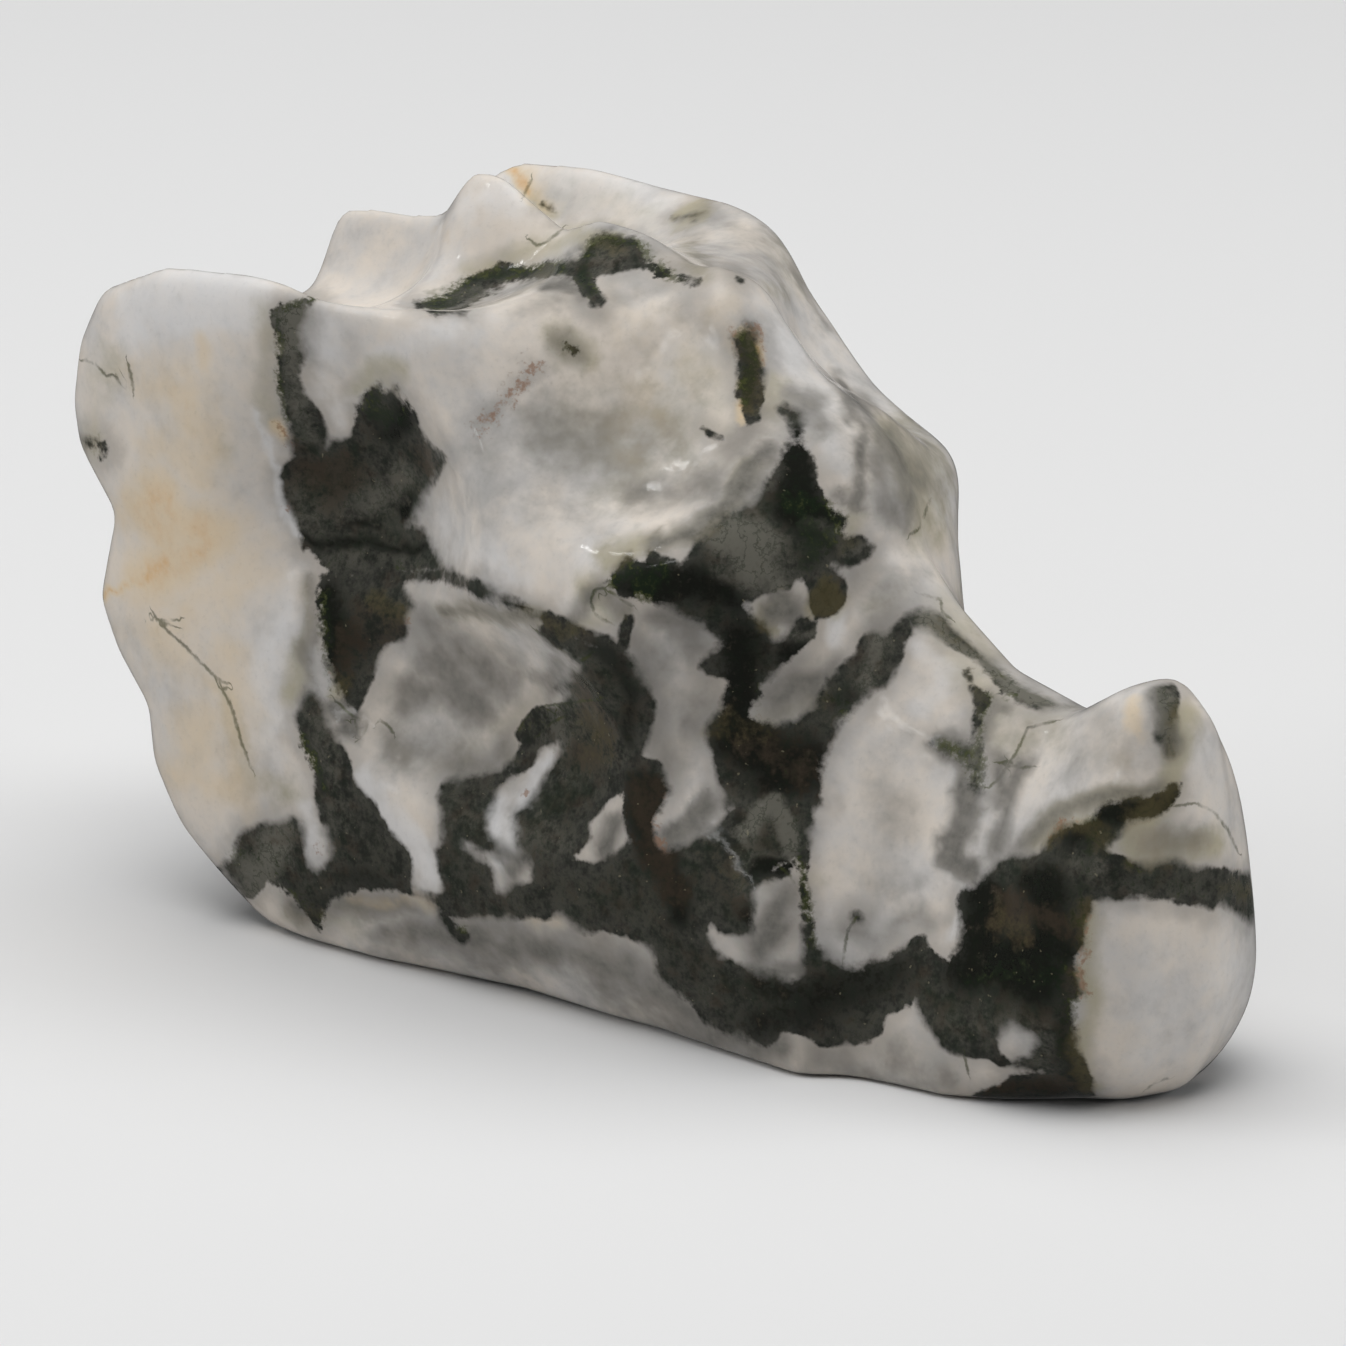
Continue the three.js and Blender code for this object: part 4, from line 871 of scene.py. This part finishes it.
def sample_lattice():
    """The field on a lattice of CELL: in full near the surface, and one value a block elsewhere."""
    size = BLOCK_CELLS * CELL
    blocks = [math.ceil((high - low) / size) for low, high in zip(LOW_CORNER, HIGH_CORNER)]
    middles = [low + (np.arange(count) * BLOCK_CELLS + (BLOCK_CELLS - 1) / 2) * CELL
               for low, count in zip(LOW_CORNER, blocks)]
    grid = np.stack(np.meshgrid(*middles, indexing="ij"), axis=-1).reshape(-1, 3)
    values = stone_distance(grid).reshape(blocks)
    for axis in range(3):
        values = np.repeat(values, BLOCK_CELLS, axis=axis)
    near = np.argwhere(np.abs(values) < BAND)
    values[tuple(near.T)] = stone_distance(np.array(LOW_CORNER) + near * CELL)
    return values


def find_vertices(values):
    """One vertex in each cell that the surface crosses, in the middle of its crossings, in cells."""
    corners = [(a, b, c) for a in (0, 1) for b in (0, 1) for c in (0, 1)]
    shape = [count - 1 for count in values.shape]
    low = np.ones(shape, dtype=bool)
    high = np.zeros(shape, dtype=bool)
    for a, b, c in corners:
        inside = values[a:a + shape[0], b:b + shape[1], c:c + shape[2]] < 0
        low &= inside
        high |= inside
    cells = np.argwhere(high & ~low)
    total = np.zeros((len(cells), 3))
    count = np.zeros(len(cells))
    for start in corners:
        for axis in range(3):
            if start[axis]:
                continue
            end = [value + (other == axis) for other, value in enumerate(start)]
            first = values[tuple((cells + start).T)]
            second = values[tuple((cells + end).T)]
            crossed = (first < 0) != (second < 0)
            along = np.where(crossed, first / np.where(crossed, first - second, 1.0), 0.0)
            place = np.array(start, dtype=float) * np.ones((len(cells), 1))
            place[:, axis] += along
            total += place * crossed[:, None]
            count += crossed
    return cells, cells + total / count[:, None]


def find_quads(values, cells):
    """One quad round each lattice edge that the surface crosses, facing outward."""
    number = np.full(values.shape, -1, dtype=np.int64)
    number[tuple(cells.T)] = np.arange(len(cells))
    inside = values < 0
    quads = []
    for axis in range(3):
        first, second = (axis + 1) % 3, (axis + 2) % 3
        here = [slice(1, -1)] * 3
        there = list(here)
        there[axis] = slice(2, None)
        edges = np.argwhere(inside[tuple(here)] != inside[tuple(there)]) + 1
        step_first, step_second = np.zeros(3, dtype=int), np.zeros(3, dtype=int)
        step_first[first], step_second[second] = 1, 1
        around = [edges, edges - step_first, edges - step_first - step_second, edges - step_second]
        quad = np.stack([number[tuple(place.T)] for place in around], axis=1)
        turned = ~inside[tuple(edges.T)]
        quad[turned] = quad[turned][:, ::-1]
        quads.append(quad)
    return np.concatenate(quads)


def pull_to_surface(points):
    for _ in range(PULLS):
        here = stone_distance(points)
        slope = np.empty_like(points)
        for axis in range(3):
            step = np.zeros(3)
            step[axis] = SLOPE_STEP
            slope[:, axis] = (stone_distance(points + step) - here) / SLOPE_STEP
        steepness = np.maximum((slope ** 2).sum(axis=1), LEAST_STEEPNESS)
        move = np.clip(here / steepness, -CELL / 2, CELL / 2)
        points = points - slope * move[:, None]
    return points


def neighbour_average(values, pairs):
    """Each vertex's average over its neighbours."""
    total = np.zeros_like(values)
    count = np.bincount(pairs.ravel(), minlength=len(values))
    for first, second in (pairs.T, pairs.T[::-1]):
        if values.ndim == 1:
            total += np.bincount(first, weights=values[second], minlength=len(values))
        else:
            for axis in range(values.shape[1]):
                total[:, axis] += np.bincount(first, weights=values[second, axis], minlength=len(values))
    return total / (count if values.ndim == 1 else count[:, None])


def make_stone_mesh():
    values = sample_lattice()
    cells, places = find_vertices(values)
    quads = find_quads(values, cells)
    points = np.array(LOW_CORNER) + places * CELL
    sides = np.concatenate([quads[:, [0, 1]], quads[:, [1, 2]], quads[:, [2, 3]], quads[:, [3, 0]]])
    pairs = np.unique(np.sort(sides, axis=1), axis=0)
    points = pull_to_surface(points)
    for _ in range(RELAXATIONS):
        points = pull_to_surface(neighbour_average(points, pairs))
    for _ in range(POLISHES):
        points += POLISH_SHARE * (neighbour_average(points, pairs) - points)
    points[:, 2] = np.maximum(points[:, 2], 0.0)
    return points, quads, pairs


def make_object(name, points, quads):
    mesh = bpy.data.meshes.new(name)
    mesh.from_pydata((points * MILLIMETRE).tolist(), [], quads.tolist())
    mesh.polygons.foreach_set("use_smooth", [True] * len(mesh.polygons))
    mesh.validate()
    mesh.update()
    piece = bpy.data.objects.new(name, mesh)
    bpy.context.collection.objects.link(piece)
    return piece


def camera_axes():
    """The camera's right, up and back, as unit vectors."""
    azimuth, elevation = math.radians(CAMERA_AZIMUTH), math.radians(CAMERA_ELEVATION)
    right = np.array([math.cos(azimuth), math.sin(azimuth), 0.0])
    level, rise = math.cos(elevation), math.sin(elevation)
    back = np.array([math.sin(azimuth) * level, -math.cos(azimuth) * level, rise])
    return right, np.cross(back, right), back


def to_photo(points):
    """Where points in millimetres fall in the photograph, in its pixels."""
    right, up, back = camera_axes()
    away = points - np.array(CAMERA_TARGET) - back * CAMERA_DISTANCE
    scale = PHOTO_SIZE / VIEW_WIDTH * CAMERA_DISTANCE / -(away @ back)
    return PHOTO_SIZE / 2 + (away @ right) * scale, PHOTO_SIZE / 2 - (away @ up) * scale


def smooth_step(values, low, high):
    share = np.clip((values - low) / (high - low), 0.0, 1.0)
    return share * share * (3.0 - 2.0 * share)


def seen_share(points, normals, quads, pairs):
    """How far each vertex takes its marks from the photograph, from 0 to 1."""
    view = np.array(CAMERA_TARGET) + camera_axes()[2] * CAMERA_DISTANCE - points
    view /= np.linalg.norm(view, axis=1)[:, None]
    facing = (view * normals).sum(axis=1)
    share = smooth_step(facing, GRAZING, PLAIN)
    tree = BVHTree.FromPolygons(points.tolist(), quads.tolist())
    starts = points + normals * SIGHT_GAP
    for number in np.flatnonzero(share > 0.0):
        if tree.ray_cast(Vector(starts[number]), Vector(view[number]))[0] is not None:
            share[number] = 0.0
    for _ in range(SIGHT_RINGS):
        share = np.maximum(share, neighbour_average(share, pairs) * SIGHT_FADE)
    return share


def stroke_gap(u, v, stroke):
    """How far each place is outside a stroke of points with half widths, below zero inside it."""
    nearest = np.full(u.shape, np.inf)
    for (start_u, start_v, start_width), (end_u, end_v, end_width) in zip(stroke, stroke[1:] or stroke):
        run_u, run_v = end_u - start_u, end_v - start_v
        length = max(run_u ** 2 + run_v ** 2, LEAST_RUN)
        along = np.clip(((u - start_u) * run_u + (v - start_v) * run_v) / length, 0.0, 1.0)
        gap = np.hypot(u - start_u - along * run_u, v - start_v - along * run_v)
        nearest = np.minimum(nearest, gap - start_width - along * (end_width - start_width))
    return nearest


def dark_distance(u, v):
    """The distance to the dark stone in pixels, below zero inside it."""
    dark = np.full(u.shape, np.inf)
    for outline in DARK_OUTLINES.values():
        dark = np.minimum(dark, outline_distance(u, v, outline))
    for outline in PALE_OUTLINES.values():
        dark = np.maximum(dark, -outline_distance(u, v, outline))
    for stroke in DARK_STROKES.values():
        dark = np.minimum(dark, stroke_gap(u, v, stroke))
    return dark


def wash_level(u, v, washes):
    level = np.zeros(u.shape)
    for strength, reach, stroke in washes.values():
        share = 1.0 - smooth_step(stroke_gap(u, v, stroke), -WASH_INSET * reach, WASH_OUTSET * reach)
        level = np.maximum(level, strength * share)
    return level


def thread_side(u, v):
    """The nearest thread's distance in pixels, and -1 on its right-hand side or 1 on the other."""
    nearest = np.full(u.shape, np.inf)
    side = np.ones(u.shape)
    for thread in THREADS.values():
        for (start_u, start_v), (end_u, end_v) in zip(thread, thread[1:]):
            run_u, run_v = end_u - start_u, end_v - start_v
            to_u, to_v = u - start_u, v - start_v
            across = run_u * to_v - run_v * to_u
            along = np.clip((to_u * run_u + to_v * run_v) / (run_u ** 2 + run_v ** 2), 0.0, 1.0)
            gap = np.hypot(to_u - along * run_u, to_v - along * run_v)
            side = np.where(gap < nearest, np.where(across < 0, -1.0, 1.0), side)
            nearest = np.minimum(nearest, gap)
    return nearest, side


def blob_noise(points, size, seed):
    """Smooth seeded noise from -1 to 1, in blobs of a size in millimetres."""
    lattice = np.random.default_rng(seed).uniform(-1.0, 1.0, (NOISE_PERIOD,) * 3)
    cell = np.floor(points / size).astype(int)
    part = points / size - cell
    part = part * part * (3.0 - 2.0 * part)
    total = np.zeros(len(points))
    for corner in np.ndindex(2, 2, 2):
        weight = np.prod(np.where(corner, part, 1.0 - part), axis=1)
        total += weight * lattice[tuple(((cell + corner) % NOISE_PERIOD).T)]
    return total


def patch_noise(points, size, seed):
    """Blob noise with finer and fainter noise laid over it."""
    return sum(blob_noise(points, size / 2 ** layer, seed + layer) / NOISE_FADE ** layer
               for layer in range(NOISE_LAYERS))


def find_marks(points, normals, quads, pairs):
    """The named fields that the stone's material reads: from the photograph where it shows the stone."""
    u, v = to_photo(points)
    pixel = VIEW_WIDTH / PHOTO_SIZE
    wash_u, wash_v = (place + WANDER * patch_noise(points, WANDER_SIZE, seed)
                      for place, seed in zip((u, v), WANDER_SEEDS))
    seen = seen_share(points, normals, quads, pairs)
    bend = np.stack([blob_noise(points, PATCH_SIZE / 2, seed) for seed in BEND_SEEDS], axis=1)
    places = points + bend * PATCH_SIZE / 4
    patches = (patch_noise(places, PATCH_SIZE, PATCH_SEED) + PATCH_BIAS) * PATCH_DEPTH
    patches = np.clip(patches, -MARK_LIMIT, MARK_LIMIT)
    dark = np.clip(dark_distance(u, v) * pixel, -MARK_LIMIT, MARK_LIMIT)
    gap, side = thread_side(u, v)
    marks = {
        "dark": mix(patches, dark, seen),
        "thread_side": np.clip(gap * pixel, 0.0, THREAD_REACH) * side,
        "thread_reach": seen * np.clip(1.0 - gap * pixel / THREAD_REACH, 0.0, 1.0),
    }
    for name, (washes, seed, strength, low, high) in WASHES.items():
        unseen = strength * smooth_step(patch_noise(places, WASH_SIZE, seed), low, high)
        marks[name] = mix(unseen, wash_level(wash_u, wash_v, washes), seen)
    return marks


def mix(first, second, share):
    return first * (1.0 - share) + second * share


def store_marks(piece, marks):
    for name, values in marks.items():
        attribute = piece.data.attributes.new(name, "FLOAT", "POINT")
        attribute.data.foreach_set("value", values.astype(np.float32))


def screen_colour(colour):
    """A screen's colour, 0 to 255, as the light that a shader works with."""
    shares = [value / 255.0 for value in colour]
    return tuple(share / 12.92 if share < 0.04045 else ((share + 0.055) / 1.055) ** 2.4
                 for share in shares) + (1.0,)


class Graph:
    """A material's nodes, added one call at a time. Numbers, colours and sockets all serve as inputs."""

    def __init__(self, material):
        material.use_nodes = True
        self.tree = material.node_tree
        self.shader = self.tree.nodes["Principled BSDF"]
        place = self.add("ShaderNodeTexCoord").outputs["Object"]
        scaled = {"Vector": place, "Scale": 1.0 / MILLIMETRE}
        self.place = self.add("ShaderNodeVectorMath", scaled, operation="SCALE").outputs["Vector"]
        self.fields = {name: self.noise(*settings) for name, settings in NOISES.items()}
        for name in ("dark", "thread_side", "thread_reach", *WASHES):
            self.fields[name] = self.add("ShaderNodeAttribute", attribute_name=name).outputs["Fac"]

    def add(self, kind, inputs=None, **settings):
        node = self.tree.nodes.new(kind)
        for name, value in settings.items():
            setattr(node, name, value)
        for name, value in (inputs or {}).items():
            self.set(node.inputs[name], value)
        return node

    def set(self, socket, value):
        if isinstance(value, bpy.types.NodeSocket):
            self.tree.links.new(value, socket)
        else:
            socket.default_value = value

    def maths(self, kind, first, second=0.0):
        return self.add("ShaderNodeMath", {0: first, 1: second}, operation=kind).outputs[0]

    def times(self, first, second):
        return self.maths("MULTIPLY", first, second)

    def noise(self, size, detail, roughness, shift):
        """Noise about 0, in blobs of a size in millimetres."""
        shifted = {0: self.place, 1: [shift * way for way in SHIFT_WAY]}
        place = self.add("ShaderNodeVectorMath", shifted, operation="ADD").outputs["Vector"]
        inputs = {"Vector": place, "Scale": 1.0 / size, "Detail": detail, "Roughness": roughness}
        return self.maths("SUBTRACT", self.add("ShaderNodeTexNoise", inputs).outputs["Fac"], 0.5)

    def level(self, parts):
        """A sum of named fields, each with its weight."""
        total = 0.0
        for name, weight in parts.items():
            total = self.maths("ADD", total, self.times(self.fields[name], weight))
        return total

    def step(self, value, low, high):
        """0 where the value is at low, 1 where it is at high, and smooth between."""
        inputs = {"Value": value, 1: low, 2: high}
        return self.add("ShaderNodeMapRange", inputs, interpolation_type="SMOOTHSTEP").outputs["Result"]

    def near_zero(self, parts, width):
        """1 where a level is nearer to zero than the first width, and 0 beyond the second."""
        return self.step(self.maths("ABSOLUTE", self.level(parts)), width[1], width[0])

    def blend(self, share, first, second):
        colours = [value if isinstance(value, bpy.types.NodeSocket) else screen_colour(value)
                   for value in (first, second)]
        inputs = {0: share, 6: colours[0], 7: colours[1]}
        return self.add("ShaderNodeMix", inputs, data_type="RGBA").outputs[2]

    def lay(self, colour, layers):
        """A colour with layers on it, in their order."""
        for top, strength, low, high, parts in layers:
            share = self.times(self.step(self.level(parts), low, high), strength)
            colour = self.blend(share, colour, self.fields.get(top, top))
        return colour


def make_stone_material():
    material = bpy.data.materials.new("moss_agate")
    graph = Graph(material)
    fields, times, step = graph.fields, graph.times, graph.step
    fields["mottle"] = graph.level(MOTTLE)
    mossy = graph.maths("MAXIMUM", times(fields["black"], BLACK_AS_MOSS), fields["green"])
    fields["edge"] = graph.maths("ADD", graph.level(EDGE), times(mossy, graph.level(MOSSY_EDGE)))
    blur = graph.maths("ADD", times(mossy, MOSS_SHARPENS), CLOUDY_BLUR)
    blur = graph.maths("ADD", times(step(graph.level(BLUR_CLOUDS), *BLUR_RANGE), blur), LEAST_BLUR)
    is_dark = step(fields["edge"], blur, times(blur, -1.0))
    fields["depth"] = step(graph.level(DEPTH), *DEPTH_RANGE)
    # The grey washes' colour: smoky stone, also laid as painted shade.
    fields["smoke_and_shade_colour"] = graph.lay(SMOKE_AND_SHADE_DARK, [SMOKE_AND_SHADE_CLOUDS])

    white = graph.lay(WARM_WHITE, WHITE_LAYERS)
    dark = graph.lay(STONE_GREY, DARK_LAYERS)
    clear = step(graph.level(CLEAR_LEVEL), *CLEAR_RANGE)
    filament = graph.near_zero({"veins": 1.0}, FILAMENT_WIDTH)
    clear_filament = graph.maths("ADD", times(clear, FILAMENT_IN_CLEAR), FILAMENT)
    dark = graph.blend(times(filament, clear_filament), dark, MOSS_GREEN)
    dark = graph.lay(dark, MOSS_LAYERS)
    colour = graph.blend(is_dark, white, dark)

    fringe = step(graph.level(FRINGE_MOSS), *FRINGE_RANGE)
    fringe = times(graph.near_zero(FRINGE_LINE, FRINGE_WIDTH), fringe)
    colour = graph.blend(times(fringe, FRINGE), colour, MOSS_PALE)
    thread = times(graph.near_zero(THREAD_LINE, THREAD_WIDTH), step(fields["thread_reach"], *THREAD_END))
    thread = times(thread, step(graph.level(THREAD_BREAKS), *THREAD_BREAK_RANGE))
    thread_colour = graph.lay(MOSS_GREEN, [THREAD_CLOUDS])
    graph.set(graph.shader.inputs["Base Color"], graph.blend(times(thread, THREAD), colour, thread_colour))

    roughness = graph.maths("ADD", times(fields["polish"], ROUGHNESS_CHANGE), ROUGHNESS)
    graph.set(graph.shader.inputs["Roughness"], roughness)
    for name, value in SHADER.items():
        graph.shader.inputs[name].default_value = value
    bump = graph.add("ShaderNodeBump", {**BUMP, "Height": graph.level(RELIEF)})
    graph.set(graph.shader.inputs["Normal"], bump.outputs["Normal"])
    return material


def add_camera():
    right, up, back = camera_axes()
    data = bpy.data.cameras.new("camera")
    data.sensor_width = SENSOR_WIDTH
    data.lens = SENSOR_WIDTH * CAMERA_DISTANCE / VIEW_WIDTH
    data.clip_start = NEAR_LIMIT
    camera = bpy.data.objects.new("camera", data)
    place = (np.array(CAMERA_TARGET) + back * CAMERA_DISTANCE) * MILLIMETRE
    turn = Matrix([right, up, back]).transposed().to_4x4()
    camera.matrix_world = Matrix.Translation(Vector(place)) @ turn
    bpy.context.collection.objects.link(camera)
    bpy.context.scene.camera = camera


def add_light(name, place, size, power, mirrored):
    """A soft panel of light; where it isn't mirrored, the polished stone shows no reflection of it."""
    data = bpy.data.lights.new(name, "AREA")
    data.shape = "RECTANGLE"
    data.size, data.size_y = size
    data.energy = power
    light = bpy.data.objects.new(name, data)
    light.visible_glossy = mirrored
    light.location = place
    light.rotation_euler = (Vector(LIGHT_TARGET) - Vector(place)).to_track_quat("-Z", "Y").to_euler()
    bpy.context.collection.objects.link(light)


def add_floor():
    mesh = bpy.data.meshes.new("floor")
    reach = FLOOR_REACH
    mesh.from_pydata([(-reach, -reach, 0), (reach, -reach, 0), (reach, reach, 0), (-reach, reach, 0)],
                     [], [(0, 1, 2, 3)])
    floor = bpy.data.objects.new("floor", mesh)
    material = bpy.data.materials.new("floor")
    material.use_nodes = True
    shader = material.node_tree.nodes["Principled BSDF"]
    shader.inputs["Base Color"].default_value = FLOOR_COLOUR
    shader.inputs["Roughness"].default_value = FLOOR_ROUGHNESS
    mesh.materials.append(material)
    bpy.context.collection.objects.link(floor)
    floor.visible_glossy = False


def add_world():
    world = bpy.data.worlds.new("studio")
    bpy.context.scene.world = world
    world.use_nodes = True
    background = world.node_tree.nodes["Background"]
    background.inputs["Color"].default_value = (1.0, 1.0, 1.0, 1.0)
    background.inputs["Strength"].default_value = WORLD_STRENGTH


points, quads, pairs = make_stone_mesh()
head = make_object("dragon_head_carving", points, quads)
normals = np.empty(points.size)
head.data.vertices.foreach_get("normal", normals)
store_marks(head, find_marks(points, normals.reshape(-1, 3), quads, pairs))
head.data.materials.append(make_stone_material())
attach(head, "root")
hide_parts("dragon_head")

add_camera()
add_floor()
add_world()
for name, settings in LIGHTS.items():
    add_light(name, *settings)
bpy.context.scene.view_settings.view_transform = "Standard"
